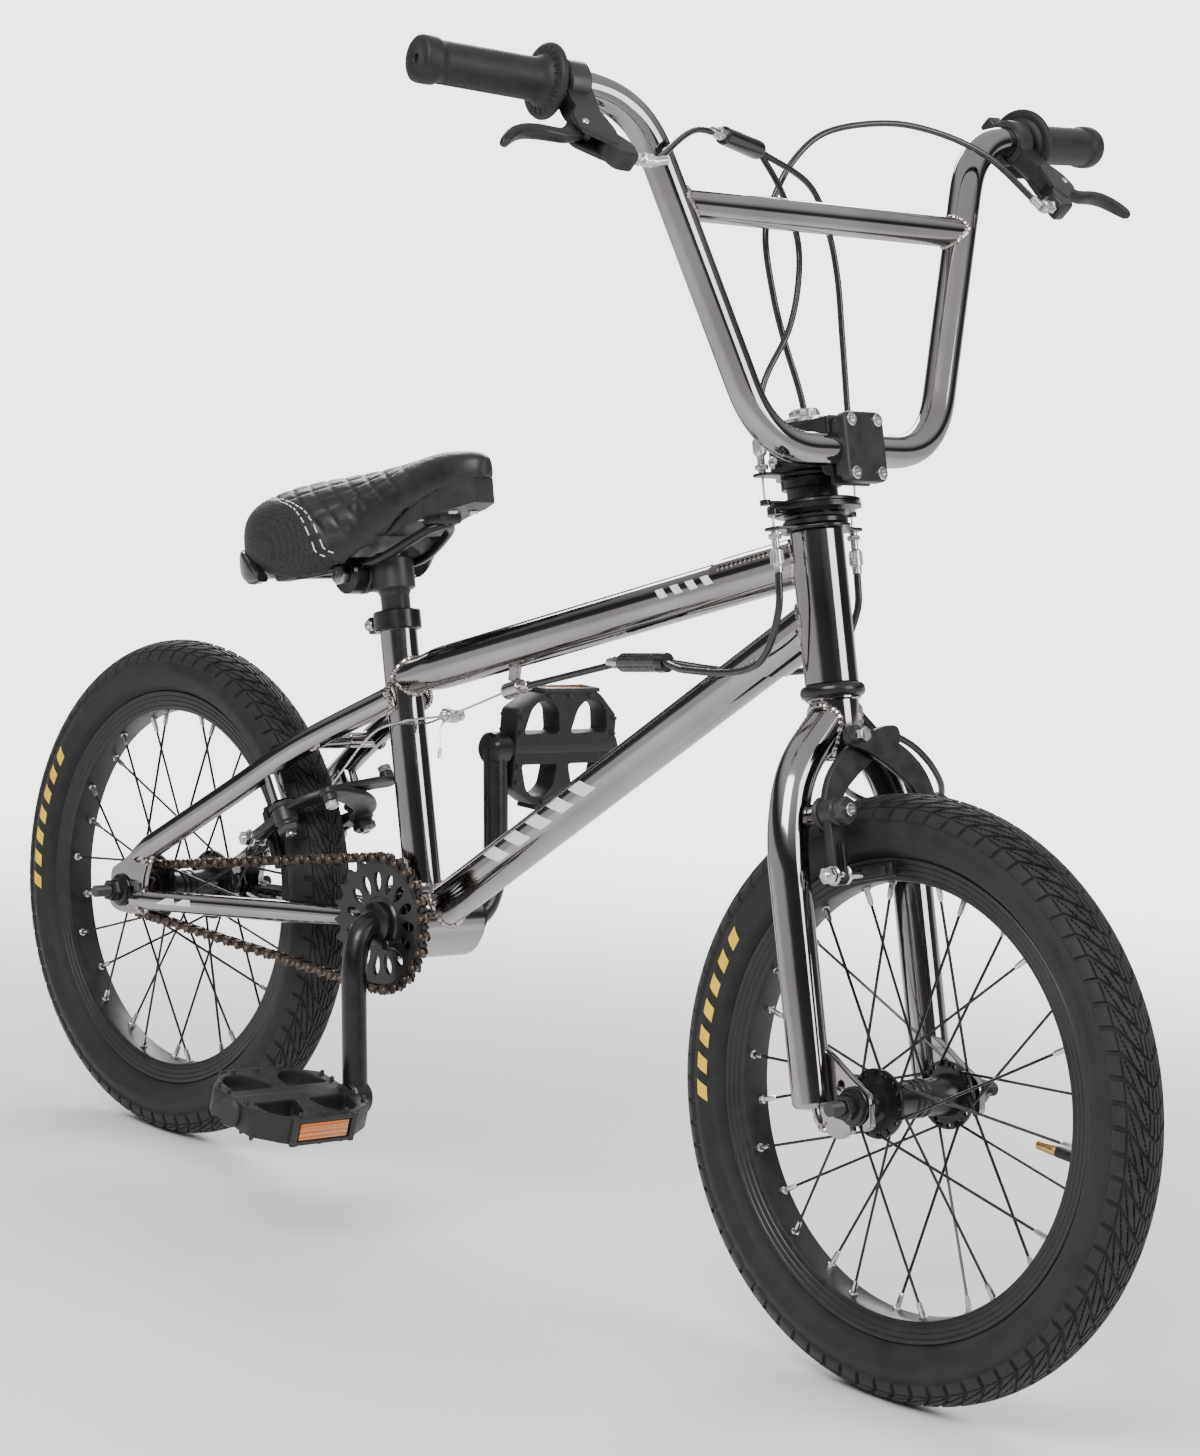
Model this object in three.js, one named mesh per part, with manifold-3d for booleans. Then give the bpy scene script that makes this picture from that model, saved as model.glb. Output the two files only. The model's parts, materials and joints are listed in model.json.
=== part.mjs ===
// BMX bike with 16-inch wheels, a one-piece crank, U-brakes and a 360-degree brake-cable gyro.
// Millimetres. +X is forward, +Y is the rider's left, +Z is up; the tyres stand on z = 0
// and x = 0 is half way between the two axles.
import * as THREE from 'three';
import { mergeVertices } from 'three/addons/utils/BufferGeometryUtils.js';
import Module from 'manifold-3d';

const wasm = await Module();
wasm.setup();

// ---------- driving dimensions ----------
const GAP = 0.3;                    // clearance between two pieces that touch
const BEAD_DIAMETER = 305;          // tyre size 47-305
const TYRE_WIDTH = 47;
const TYRE_R = BEAD_DIAMETER / 2 + TYRE_WIDTH;
const TYRE_WALL = 4;
const RIM_INNER_R = 142.5;
const WHEELBASE = 797;
const AXLE_R = 4.8;
const SPOKES_PER_SIDE = 14;

const HEAD_ANGLE = THREE.MathUtils.degToRad(74.8);
const FORK_OFFSET = 34;             // front axle ahead of the steering axis
const STEERER_R = 14.3;
const HEAD_TUBE_R = 18;
const HEAD_TUBE_LOW = 277;          // heights "up the steering axis" start level with the front axle
const HEAD_TUBE_TOP = 380;

const BB_X = -96.5;                 // bottom bracket
const BB_Z = 227;
const BB_R = 28;
const BB_HALF_WIDTH = 34;
const SEAT_ANGLE = THREE.MathUtils.degToRad(74.5);
const SEAT_TUBE_R = 14;
const SEAT_TUBE_LENGTH = 233;
const MAIN_TUBE_R = 15.9;
const STAY_R = 9.5;
const REAR_DROPOUT_Y = 55;          // inner faces of the rear dropouts
const FRONT_DROPOUT_Y = 50;
const DROPOUT_THICKNESS = 6;

const CHAIN_Y = -44;
const CHAIN_PITCH = 12.86;
const CRANK_LENGTH = 127;
const CRANK_ARM_Y = 71;
const CRANK_TURN = THREE.MathUtils.degToRad(8);
const PEDAL_INNER_Y = 82;
const PEDAL_LENGTH = 104;
const PEDAL_WIDTH = 90;
const PEDAL_THICKNESS = 24;

const BAR_R = 11.1;
const BAR_CLAMP_X = 38;             // centre of the handlebar clamp ahead of the steering axis
const BAR_CLAMP_Z = 428;            // and up it
const BAR_END_Y = 320;
const POST_R = 11.1;
const SLEEVE_R = 12.3;              // steel sleeve at the top of the post
const SADDLE_TILT = THREE.MathUtils.degToRad(14.5);

const pitchRadius = (teeth) => CHAIN_PITCH / 2 / Math.sin(Math.PI / teeth);
const SPROCKET_R = pitchRadius(24);
const COG_R = pitchRadius(9);
const CHAIN_HALF_HEIGHT = 4.2;

// ---------- materials ----------
const material = (color, roughness, metalness) =>
  new THREE.MeshStandardMaterial({ color, roughness, metalness });
const darkChrome = material(0x8f8884, 0.12, 1);
const silver = material(0xc4c4c6, 0.3, 1);
const blackPaint = material(0x161616, 0.35, 0.2);
const blackPlastic = material(0x1c1c1d, 0.5, 0);
const blackRubber = material(0x1a191a, 0.75, 0);
const blackCable = material(0x121213, 0.4, 0);
const bronzeChain = material(0x5d4434, 0.4, 0.9);
const greyPlastic = material(0x5c5a60, 0.55, 0);
const saddleCover = material(0x1d1d1f, 0.6, 0);
const spokeBlack = material(0x18181a, 0.3, 0.8);

// ---------- helpers ----------
const v = (x, y, z) => new THREE.Vector3(x, y, z);

function solid(geometry) {
  const clean = geometry.clone();
  for (const name of Object.keys(clean.attributes)) {
    if (name !== 'position') clean.deleteAttribute(name);
  }
  const merged = mergeVertices(clean, 1e-4);
  return new wasm.Manifold(new wasm.Mesh({
    numProp: 3,
    vertProperties: new Float32Array(merged.attributes.position.array),
    triVerts: new Uint32Array(withoutSlivers(merged.index.array)),
  }));
}

// Triangles that still have three different corners after the merge.
function withoutSlivers(index) {
  const kept = [];
  for (let i = 0; i < index.length; i += 3) {
    const [a, b, c] = [index[i], index[i + 1], index[i + 2]];
    if (a !== b && b !== c && c !== a) kept.push(a, b, c);
  }
  return kept;
}

function geometryOf(manifold) {
  const mesh = manifold.getMesh();
  const geometry = new THREE.BufferGeometry();
  geometry.setAttribute('position', new THREE.BufferAttribute(new Float32Array(mesh.vertProperties), 3));
  geometry.setIndex(new THREE.BufferAttribute(new Uint32Array(mesh.triVerts), 1));
  geometry.computeVertexNormals();
  return geometry;
}

function join(first, ...others) {
  let body = solid(first);
  for (const other of others) body = body.add(solid(other));
  return geometryOf(body);
}

function cut(first, ...others) {
  let body = solid(first);
  for (const other of others) body = body.subtract(solid(other));
  return geometryOf(body);
}

function moved(geometry, x, y, z) {
  return geometry.clone().translate(x, y, z);
}

// A copy on the other side of the bike's middle plane.
function mirrored(geometry) {
  const copy = geometry.index ? geometry.toNonIndexed() : geometry.clone();
  const position = copy.attributes.position;
  for (let i = 0; i < position.count; i += 3) {
    const corner = [0, 1, 2].map((k) => v(0, 0, 0).fromBufferAttribute(position, i + k));
    [corner[0], corner[2], corner[1]].forEach((p, k) => position.setXYZ(i + k, p.x, -p.y, p.z));
  }
  copy.computeVertexNormals();
  return copy;
}

// The corner radius of a faceted hole whose flats clear a round bar of this radius.
function boreRadius(radius, sides) {
  return (radius + GAP) / Math.cos(Math.PI / sides);
}

// A straight round bar from a to b.
function rod(a, b, radius, sides = 12, endRadius = radius) {
  const geometry = new THREE.CylinderGeometry(endRadius, radius, a.distanceTo(b), sides);
  const turn = new THREE.Quaternion().setFromUnitVectors(v(0, 1, 0), b.clone().sub(a).normalize());
  geometry.applyQuaternion(turn);
  geometry.translate((a.x + b.x) / 2, (a.y + b.y) / 2, (a.z + b.z) / 2);
  return geometry;
}

// A round bar along Y between two positions.
function crossRod(x, z, fromY, toY, radius, sides = 12) {
  return rod(v(x, fromY, z), v(x, toY, z), radius, sides);
}

// A bent tube: straight runs between the points, rounded at the corners.
function bentTube(points, bend, radius, sides, steps) {
  const path = new THREE.CurvePath();
  let from = points[0];
  for (let i = 1; i < points.length - 1; i += 1) {
    const into = points[i].clone().sub(points[i - 1]).normalize();
    const out = points[i + 1].clone().sub(points[i]).normalize();
    const start = points[i].clone().addScaledVector(into, -bend);
    const end = points[i].clone().addScaledVector(out, bend);
    path.add(new THREE.LineCurve3(from, start));
    path.add(new THREE.QuadraticBezierCurve3(start, points[i], end));
    from = end;
  }
  path.add(new THREE.LineCurve3(from, points[points.length - 1]));
  return sweep(path, radius, sides, steps);
}

// A flexible cable: a smooth curve through the points.
function cable(points, radius, sides = 8, steps = 30) {
  return sweep(new THREE.CatmullRomCurve3(points, false, 'centripetal'), radius, sides, steps);
}

function sweep(path, radius, sides, steps) {
  const section = new THREE.Shape();
  for (let i = 0; i < sides; i += 1) {
    const angle = (2 * Math.PI * i) / sides;
    const x = radius * Math.cos(angle);
    const y = radius * Math.sin(angle);
    if (i === 0) section.moveTo(x, y);
    else section.lineTo(x, y);
  }
  section.closePath();
  const options = { steps, bevelEnabled: false, extrudePath: path, curveSegments: 1 };
  return new THREE.ExtrudeGeometry(section, options);
}

// A turned shape about Z from [radius, z] pairs.
function turned(profile, segments = 14) {
  const points = profile.map(([r, z]) => new THREE.Vector2(r, z));
  const geometry = new THREE.LatheGeometry(points, segments);
  geometry.rotateX(Math.PI / 2);
  return geometry;
}

function ring(innerR, outerR, lowZ, highZ, segments = 14) {
  return turned([[innerR, lowZ], [outerR, lowZ], [outerR, highZ], [innerR, highZ], [innerR, lowZ]], segments);
}

// The same, about the Y axis: z of the profile becomes y.
function turnedAcross(profile, segments = 14) {
  return turned(profile, segments).rotateX(-Math.PI / 2);
}

// A flat plate in the XZ plane, cut from an outline and centred on y.
function plateAcross(outline, y, thickness, holes = []) {
  const shape = new THREE.Shape(outline.map(([x, z]) => new THREE.Vector2(x, z)));
  shape.holes = holes.map((hole) => new THREE.Path(hole.map(([x, z]) => new THREE.Vector2(x, z))));
  const geometry = new THREE.ExtrudeGeometry(shape, { depth: thickness, bevelEnabled: false });
  geometry.rotateX(Math.PI / 2);
  geometry.translate(0, y + thickness / 2, 0);
  return geometry;
}

// A flat plate in the XY plane, from z to z + thickness.
function plateFlat(outline, z, thickness, holes = [], bevel = 0) {
  const shape = new THREE.Shape(outline.map(([x, y]) => new THREE.Vector2(x, y)));
  shape.holes = holes.map((hole) => new THREE.Path(hole.map(([x, y]) => new THREE.Vector2(x, y))));
  const geometry = new THREE.ExtrudeGeometry(shape, {
    depth: thickness - 2 * bevel, bevelEnabled: bevel > 0, bevelSize: bevel, bevelThickness: bevel,
    bevelOffset: -bevel, bevelSegments: 2,
  });
  return geometry.translate(0, 0, z + bevel);
}

// A rounded body along X whose half-width, bottom and top change along its length.
function roundedBody(fromX, toX, halfWidth, bottom, top, squareness = 0.7, around = 24, along = 20) {
  const geometry = new THREE.SphereGeometry(1, around, along);
  geometry.rotateZ(Math.PI / 2);
  const position = geometry.attributes.position;
  const squared = (value) => (Math.abs(value) < 1e-6 ? 0 : Math.sign(value) * Math.abs(value) ** squareness);
  for (let i = 0; i < position.count; i += 1) {
    const t = THREE.MathUtils.clamp(position.getX(i), -1, 1);
    const ringSize = Math.sqrt(Math.max(0, 1 - t * t));
    const side = ringSize > 1e-6 ? position.getY(i) / ringSize : 0;
    const up = ringSize > 1e-6 ? position.getZ(i) / ringSize : 0;
    const taper = ringSize ** 0.6;
    const u = (t + 1) / 2;
    const x = fromX + (toX - fromX) * u;
    const middle = (bottom(u) + top(u)) / 2;
    const half = (top(u) - bottom(u)) / 2;
    position.setXYZ(i, x, halfWidth(u) * squared(side) * taper, middle + half * squared(up) * taper);
  }
  geometry.computeVertexNormals();
  return geometry;
}

// Smooth value along 0..1 through evenly spaced values.
function along(values) {
  return (u) => {
    const place = THREE.MathUtils.clamp(u, 0, 1) * (values.length - 1);
    const index = Math.min(Math.floor(place), values.length - 2);
    const share = THREE.MathUtils.smoothstep(place - index, 0, 1);
    return THREE.MathUtils.lerp(values[index], values[index + 1], share);
  };
}

const bike = new THREE.Group();
function add(parent, name, geometry, look) {
  const mesh = new THREE.Mesh(geometry, look.clone());
  mesh.name = name;
  parent.add(mesh);
  return mesh;
}

// ---------- places ----------
const REAR_AXLE = v(-WHEELBASE / 2, 0, TYRE_R);
const FRONT_AXLE = v(WHEELBASE / 2, 0, TYRE_R);

// Everything that steers is built upright about the steering axis, then leaned back as one group.
const front = new THREE.Group();
front.rotation.y = -(Math.PI / 2 - HEAD_ANGLE);
front.position.set(
  FRONT_AXLE.x - FORK_OFFSET * Math.sin(HEAD_ANGLE), 0, FRONT_AXLE.z - FORK_OFFSET * Math.cos(HEAD_ANGLE));
front.updateMatrix();
bike.add(front);
const frontPoint = (x, y, z) => v(x, y, z).applyMatrix4(front.matrix);
const leaned = (geometry) => geometry.clone().applyMatrix4(front.matrix);

// A point up the seat tube, and the turn that lays a Z-built piece along it.
const seatDirection = v(-Math.cos(SEAT_ANGLE), 0, Math.sin(SEAT_ANGLE));
const seatPoint = (distance, y = 0) => v(BB_X, y, BB_Z).addScaledVector(seatDirection, distance);
function onSeatTube(geometry, distance) {
  const place = seatPoint(distance);
  return geometry.clone().rotateY(-(Math.PI / 2 - SEAT_ANGLE)).translate(place.x, place.y, place.z);
}

// ---------- frame ----------
const headTubeOuter = rod(
  frontPoint(0, 0, HEAD_TUBE_LOW - 40), frontPoint(0, 0, HEAD_TUBE_TOP + 40), HEAD_TUBE_R + GAP, 24);
const bbOuter = crossRod(BB_X, BB_Z, -BB_HALF_WIDTH, BB_HALF_WIDTH, BB_R + GAP, 28);
const seatTubeOuter = rod(seatPoint(0), seatPoint(SEAT_TUBE_LENGTH), SEAT_TUBE_R + GAP, 20);
const topTubeFront = frontPoint(0, 0, 362.5);
const topTubeRear = seatPoint(182);
const downTubeFront = frontPoint(0, 0, 323.5);
const downTubeOuter = rod(v(BB_X, 0, BB_Z), downTubeFront, MAIN_TUBE_R + GAP, 20);

function headTube() {
  return leaned(turned([
    [15.6, HEAD_TUBE_LOW], [19, HEAD_TUBE_LOW], [19, HEAD_TUBE_LOW + 5], [HEAD_TUBE_R, HEAD_TUBE_LOW + 7],
    [HEAD_TUBE_R, HEAD_TUBE_TOP], [15.6, HEAD_TUBE_TOP], [15.6, HEAD_TUBE_LOW]], 24));
}

function downTube() {
  return cut(rod(v(BB_X, 0, BB_Z), downTubeFront, MAIN_TUBE_R, 20), headTubeOuter, bbOuter, seatTubeOuter,
    rod(frontPoint(0, 0, HEAD_TUBE_LOW - 1), frontPoint(0, 0, HEAD_TUBE_LOW + 7.4), 19.4, 20));
}

function topTube() {
  return cut(rod(topTubeRear, topTubeFront, MAIN_TUBE_R, 20), headTubeOuter, seatTubeOuter, downTubeOuter);
}

function seatTube() {
  return cut(
    rod(seatPoint(0), seatPoint(SEAT_TUBE_LENGTH), SEAT_TUBE_R, 20),
    rod(seatPoint(60), seatPoint(SEAT_TUBE_LENGTH + 5), POST_R + GAP, 16),
    bbOuter,
  );
}

function bottomBracketShell() {
  return moved(turnedAcross([
    [25.6, -BB_HALF_WIDTH], [BB_R, -BB_HALF_WIDTH], [BB_R, BB_HALF_WIDTH], [25.6, BB_HALF_WIDTH],
    [25.6, -BB_HALF_WIDTH]], 28), BB_X, 0, BB_Z);
}

// One dropout plate with its rear-facing axle slot; y is the middle of its thickness.
function rearDropout(y) {
  const slotHalf = AXLE_R + 0.4;
  const outline = [
    [-16, 15], [-16, slotHalf], [3, slotHalf], [7, 0], [3, -slotHalf], [-16, -slotHalf], [-14, -14],
    [-4, -18], [22, -16], [34, -6], [28, 8], [34, 34], [22, 44], [2, 26],
  ].map(([x, z]) => [REAR_AXLE.x + x, REAR_AXLE.z + z]);
  return plateAcross(outline, y, DROPOUT_THICKNESS);
}

// Stays of the right side; the left ones are mirrored.
const dropoutMiddle = -(REAR_DROPOUT_Y + DROPOUT_THICKNESS / 2);
function chainstay() {
  const rearEnd = v(REAR_AXLE.x + 20, dropoutMiddle - 1, REAR_AXLE.z - 4);
  const tube = rod(rearEnd, v(BB_X - 12, -21, BB_Z - 1), 8, 12, STAY_R);
  return cut(join(tube, rearDropout(dropoutMiddle)), bbOuter, seatTubeOuter);
}

function seatstay() {
  const path = new THREE.CatmullRomCurve3([
    v(REAR_AXLE.x + 20, dropoutMiddle, REAR_AXLE.z + 33),
    v(REAR_AXLE.x + 112, -46, REAR_AXLE.z + 95),
    v(REAR_AXLE.x + 176, -33, REAR_AXLE.z + 141),
    seatPoint(168, -13),
  ]);
  const bridge = crossRod(REAR_AXLE.x + 192, REAR_AXLE.z + 148, -34, -GAP / 2, 6.5, 8);
  const onPivot = (u) => rearBrakePoint(u, -BRAKE_PIVOT_Y_REAR, BRAKE_PIVOT_V);
  const boss = rod(onPivot(-14), onPivot(13), 7, 8);
  const pin = rod(onPivot(10), onPivot(27), 4.2, 8);
  return cut(join(sweep(path, STAY_R, 8, 7), bridge, boss, pin), seatTubeOuter, dropoutClearance(),
    rod(topTubeRear, topTubeFront, MAIN_TUBE_R + GAP, 20));
}

// The dropout plate with clearance all round, for cutting the seatstay's end.
function dropoutClearance() {
  const outline = [[-18, -24], [38, -24], [36, 34], [22, 46], [-18, 24]]
    .map(([x, z]) => [REAR_AXLE.x + x, REAR_AXLE.z + z]);
  return plateAcross(outline, dropoutMiddle, DROPOUT_THICKNESS + 2 * GAP);
}

// ---------- U-brakes ----------
// A brake is laid out in its own frame: u forward along the pivots, y across, w up from the wheel's axle.
const BRAKE_PIVOT_V = 190;
const BRAKE_PIVOT_Y_FRONT = 45;
const BRAKE_PIVOT_Y_REAR = 37;
const BRAKE_PAD_DROP = 41;
const rearStayAngle = THREE.MathUtils.degToRad(34.2);
const rearBrake = new THREE.Group();
rearBrake.rotation.y = Math.PI / 2 - rearStayAngle;
rearBrake.position.copy(REAR_AXLE);
rearBrake.updateMatrix();
bike.add(rearBrake);
const rearBrakePoint = (u, y, w) => v(u, y, w).applyMatrix4(rearBrake.matrix);

// The arm on the right side. It reaches over the tyre and ends left of the middle;
// layer keeps the two crossing arms apart.
function brakeArm(pivotY, u, layer, axleU) {
  const w = BRAKE_PIVOT_V;
  const hub = rod(v(u - 7, -pivotY, w), v(u + 7, -pivotY, w), 9, 10);
  const slot = plateYW([
    [-pivotY - 7, w], [-pivotY - 6, w - 46], [-pivotY, w - 51], [-pivotY + 6, w - 46], [-pivotY + 7, w]],
    u - 3, 6);
  const arch = plateYW([
    [-pivotY - 7, w], [-pivotY + 2, w + 22], [-pivotY + 22, w + 40], [-pivotY + 62, w + 50],
    [-pivotY + 72, w + 48], [-pivotY + 72, w + 38], [-pivotY + 62, w + 34], [-pivotY + 36, w + 26],
    [-pivotY + 14, w + 14], [-pivotY + 7, w - 4]], u + layer - 2.5, 5);
  const root = rod(v(u - 3, -pivotY, w + 1), v(u + layer + (layer > 0 ? 2.5 : -2.5), -pivotY, w + 1), 7, 8);
  const away = Math.sign(layer);
  const endAt = (reach) => v(u + layer + away * reach, -pivotY + 68, w + 43);
  const end = rod(endAt(-2.4), endAt(9), 6, 8);
  const padW = w - BRAKE_PAD_DROP;
  const padBolt = rod(v(u, -pivotY - 12, padW), v(u, -19, padW), 4, 8);
  const padAngle = Math.atan2(u - axleU, padW);
  const pad = new THREE.BoxGeometry(50, 6, 9).rotateY(padAngle).translate(u, -18.6, padW);
  const pivotHole = rod(v(u - 30, -pivotY, w), v(u + 4, -pivotY, w), 4.6, 8);
  return cut(join(hub, slot, arch, root, end, padBolt, pad), pivotHole);
}

// A plate in the brake's y-w plane, from u to u + thickness.
function plateYW(outline, u, thickness) {
  const shape = new THREE.Shape(outline.map(([y, w]) => new THREE.Vector2(y, w)));
  const geometry = new THREE.ExtrudeGeometry(shape, { depth: thickness, bevelEnabled: false });
  geometry.applyMatrix4(new THREE.Matrix4().makeBasis(v(0, 1, 0), v(0, 0, 1), v(1, 0, 0)));
  return geometry.translate(u, 0, 0);
}

// ---------- wheels ----------
const WHEEL_FACETS = 28;

// The open C of the tyre's section, beads just inside the rim's hooks.
function tyre() {
  const centre = TYRE_R - TYRE_WIDTH / 2;
  const outer = TYRE_WIDTH / 2;
  const inner = outer - TYRE_WALL;
  const at = (radius, degrees) => {
    const angle = THREE.MathUtils.degToRad(degrees);
    return [centre + radius * Math.cos(angle), radius * Math.sin(angle)];
  };
  const outside = [-125, -85, -42, 0, 42, 85, 125].map((degrees) => at(outer, degrees));
  const inside = [95, 35, -35, -95].map((degrees) => at(inner, degrees));
  const profile = [...outside, [159, 12.4], [153.5, 12.2], [153.5, 8], ...inside, [153.5, -8], [153.5, -12.2],
    [159, -12.4], outside[0]];
  return turnedAcross(profile, WHEEL_FACETS);
}

function rim() {
  return turnedAcross([
    [RIM_INNER_R, -12], [158, -14.6], [158, -13], [152, -12.8], [146, -9], [146, 9],
    [152, 12.8], [158, 13], [158, 14.6], [RIM_INNER_R, 12], [RIM_INNER_R, -12]], WHEEL_FACETS);
}

function hub(flangeR, rightY, leftY, rightEnd, leftEnd) {
  const bore = AXLE_R + 0.4;
  return turnedAcross([
    [bore, rightEnd], [9, rightEnd], [12, rightY - 2], [flangeR, rightY - 1.5], [flangeR, rightY + 1.5],
    [15, rightY + 5], [12.5, 0], [15, leftY - 5], [flangeR, leftY - 1.5], [flangeR, leftY + 1.5],
    [12, leftY + 2], [9, leftEnd], [bore, leftEnd], [bore, rightEnd]], 12);
}

// The spokes of one side, leaning by turns forward and back, with the ring of elbows at the hub flange.
function spokes(flangeR, flangeY, side) {
  const holeR = flangeR - 3;
  const elbowY = side * (Math.abs(flangeY) + 3.4);
  const low = Math.min(elbowY - 1.1, elbowY + 1.1);
  const pieces = [turnedAcross([
    [holeR - 1.5, low], [holeR + 1.5, low], [holeR + 1.5, low + 2.2], [holeR - 1.5, low + 2.2],
    [holeR - 1.5, low]], 14)];
  const step = (2 * Math.PI) / SPOKES_PER_SIDE;
  for (let i = 0; i < SPOKES_PER_SIDE; i += 1) {
    const atRim = step * i + (side > 0 ? step / 2 : 0);
    const lean = (i % 2 === 0 ? 1 : -1) * step * 0.4;
    const atHub = atRim + lean;
    pieces.push(rod(
      v(holeR * Math.cos(atHub), elbowY, holeR * Math.sin(atHub)),
      v((RIM_INNER_R - 1.4) * Math.cos(atRim), side * 5, (RIM_INNER_R - 1.4) * Math.sin(atRim)), 1.1, 4));
  }
  return join(...pieces);
}

function wheel(prefix, axle, flangeR, rightY, leftY, rightEnd, leftEnd, parent) {
  const place = new THREE.Group();
  place.position.copy(axle);
  parent.add(place);
  add(place, `${prefix}_tyre`, tyre(), blackRubber);
  add(place, `${prefix}_rim`, rim(), blackPaint);
  add(place, `${prefix}_hub`, hub(flangeR, rightY, leftY, rightEnd, leftEnd), blackPaint);
  add(place, `${prefix}_spokes_right`, spokes(flangeR, rightY, -1), spokeBlack);
  add(place, `${prefix}_spokes_left`, spokes(flangeR, leftY, 1), spokeBlack);
}

function axleWithNuts(dropoutY, tip) {
  const outer = dropoutY + DROPOUT_THICKNESS + GAP;
  const half = [
    [0, -tip], [AXLE_R, -tip], [AXLE_R, -outer - 12], [10.5, -outer - 12], [12, -outer], [AXLE_R, -outer],
    [AXLE_R, -dropoutY + GAP], [8.5, -dropoutY + GAP], [8.5, -dropoutY + 5], [AXLE_R, -dropoutY + 5]];
  const other = half.map(([r, y]) => [r, -y]).reverse();
  return turnedAcross([...half, ...other], 10);
}

// ---------- fork and cockpit, upright about the steering axis ----------
const FORK_LEG_R = 13.5;
const FORK_LEG_Y = 58.5;

function fork() {
  const leg = bentTube([v(0, -4, 256), v(0, -44, 221), v(0, -FORK_LEG_Y, 176), v(0, -FORK_LEG_Y, 0)],
    20, FORK_LEG_R, 8, 10);
  const dropoutY = -(FRONT_DROPOUT_Y + DROPOUT_THICKNESS / 2);
  const slotHalf = AXLE_R + 0.4;
  const dropout = plateAcross([
    [4, 52], [4, 4], [20, -16], [FORK_OFFSET - slotHalf, -16], [FORK_OFFSET - slotHalf, 3], [FORK_OFFSET, 7],
    [FORK_OFFSET + slotHalf, 3], [FORK_OFFSET + slotHalf, -16], [48, -14], [50, 8], [42, 16]],
    dropoutY, DROPOUT_THICKNESS);
  const pivotPoint = (forward) => v(forward, -BRAKE_PIVOT_Y_FRONT, BRAKE_PIVOT_V);
  const boss = rod(pivotPoint(8), pivotPoint(22.5), 7, 8);
  const pin = rod(pivotPoint(20), pivotPoint(34), 4.2, 8);
  const side = join(leg, dropout, boss, pin);
  const crownRace = rod(v(0, 0, 228), v(0, 0, 267.7), 17.2, 20);
  const steerer = rod(v(0, 0, 260), v(0, 0, 452), STEERER_R, 20);
  const whole = join(crownRace, steerer, side, mirrored(side));
  return cut(whole, rod(v(0, 0, 226), v(0, 0, 470), 9, 16));
}

const STEM_HALF_WIDTH = 19;
const FACE_HALF_HEIGHT = 24;

function stem() {
  const low = BAR_CLAMP_Z - FACE_HALF_HEIGHT;
  const high = BAR_CLAMP_Z + FACE_HALF_HEIGHT;
  const face = BAR_CLAMP_X - 0.5;
  const body = plateAcross([
    [-20, 419], [26, 419], [28, 412], [face - 4.5, 411], [face - 4, low], [face, low], [face, high],
    [24, high], [18, 451], [-20, 451]], 0, 2 * STEM_HALF_WIDTH);
  return cut(body, rod(v(0, 0, 400), v(0, 0, 480), STEERER_R + GAP, 20),
    crossRod(BAR_CLAMP_X, BAR_CLAMP_Z, -40, 40, BAR_R + GAP, 20));
}

function stemFaceplate() {
  const depth = 14;
  const front = BAR_CLAMP_X + 1 + depth;
  const pieces = [new THREE.BoxGeometry(depth, 2 * STEM_HALF_WIDTH, 2 * FACE_HALF_HEIGHT)
    .translate(BAR_CLAMP_X + 1 + depth / 2, 0, BAR_CLAMP_Z)];
  for (const y of [-12.4, 12.4]) {
    for (const z of [-17.7, 17.7]) {
      pieces.push(rod(v(front - 4, y, BAR_CLAMP_Z + z), v(front + 1.5, y, BAR_CLAMP_Z + z), 4.5, 8));
    }
  }
  return cut(join(...pieces), crossRod(BAR_CLAMP_X, BAR_CLAMP_Z, -40, 40, BAR_R + GAP, 20));
}

const BAR_TOP = v(33, 162, 651.5);
const BAR_TIP = v(7.5, BAR_END_Y, 667);
const barUpright = v(BAR_CLAMP_X, 80, BAR_CLAMP_Z);
const crossbarShare = 0.7;

function handlebar() {
  const flip = (p) => v(p.x, -p.y, p.z);
  const end = BAR_TIP.clone().lerp(BAR_TOP, 0.02);
  const corners = [flip(end), flip(BAR_TOP), flip(barUpright), barUpright, BAR_TOP, end];
  const main = bentTube(corners, 40, BAR_R, 10, 30);
  const joint = barUpright.clone().lerp(BAR_TOP, crossbarShare);
  return join(main, rod(flip(joint), joint, BAR_R - 0.6, 10));
}

// A grip built along Z with its flange at the inner end, then laid on the right bar end.
const gripDirection = BAR_TIP.clone().sub(BAR_TOP).normalize();
function onLeftGrip(geometry, distance) {
  const turn = new THREE.Quaternion().setFromUnitVectors(v(0, 0, 1), gripDirection);
  const place = BAR_TOP.clone().addScaledVector(gripDirection, distance);
  return geometry.clone().applyQuaternion(turn).translate(place.x, place.y, place.z);
}
const GRIP_START = 64;
const GRIP_LENGTH = 98;

function grip() {
  const bore = boreRadius(BAR_R, 12);
  return onLeftGrip(turned([
    [bore, 0], [18, 0], [24.5, 1.5], [24.5, 4], [17, 7], [13.6, 11], [13.4, GRIP_LENGTH - 12],
    [14.6, GRIP_LENGTH - 7], [14.6, GRIP_LENGTH - 2], [12, GRIP_LENGTH], [0, GRIP_LENGTH],
    [0, GRIP_LENGTH - 3], [bore, GRIP_LENGTH - 3], [bore, 0]], 12), GRIP_START);
}

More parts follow.
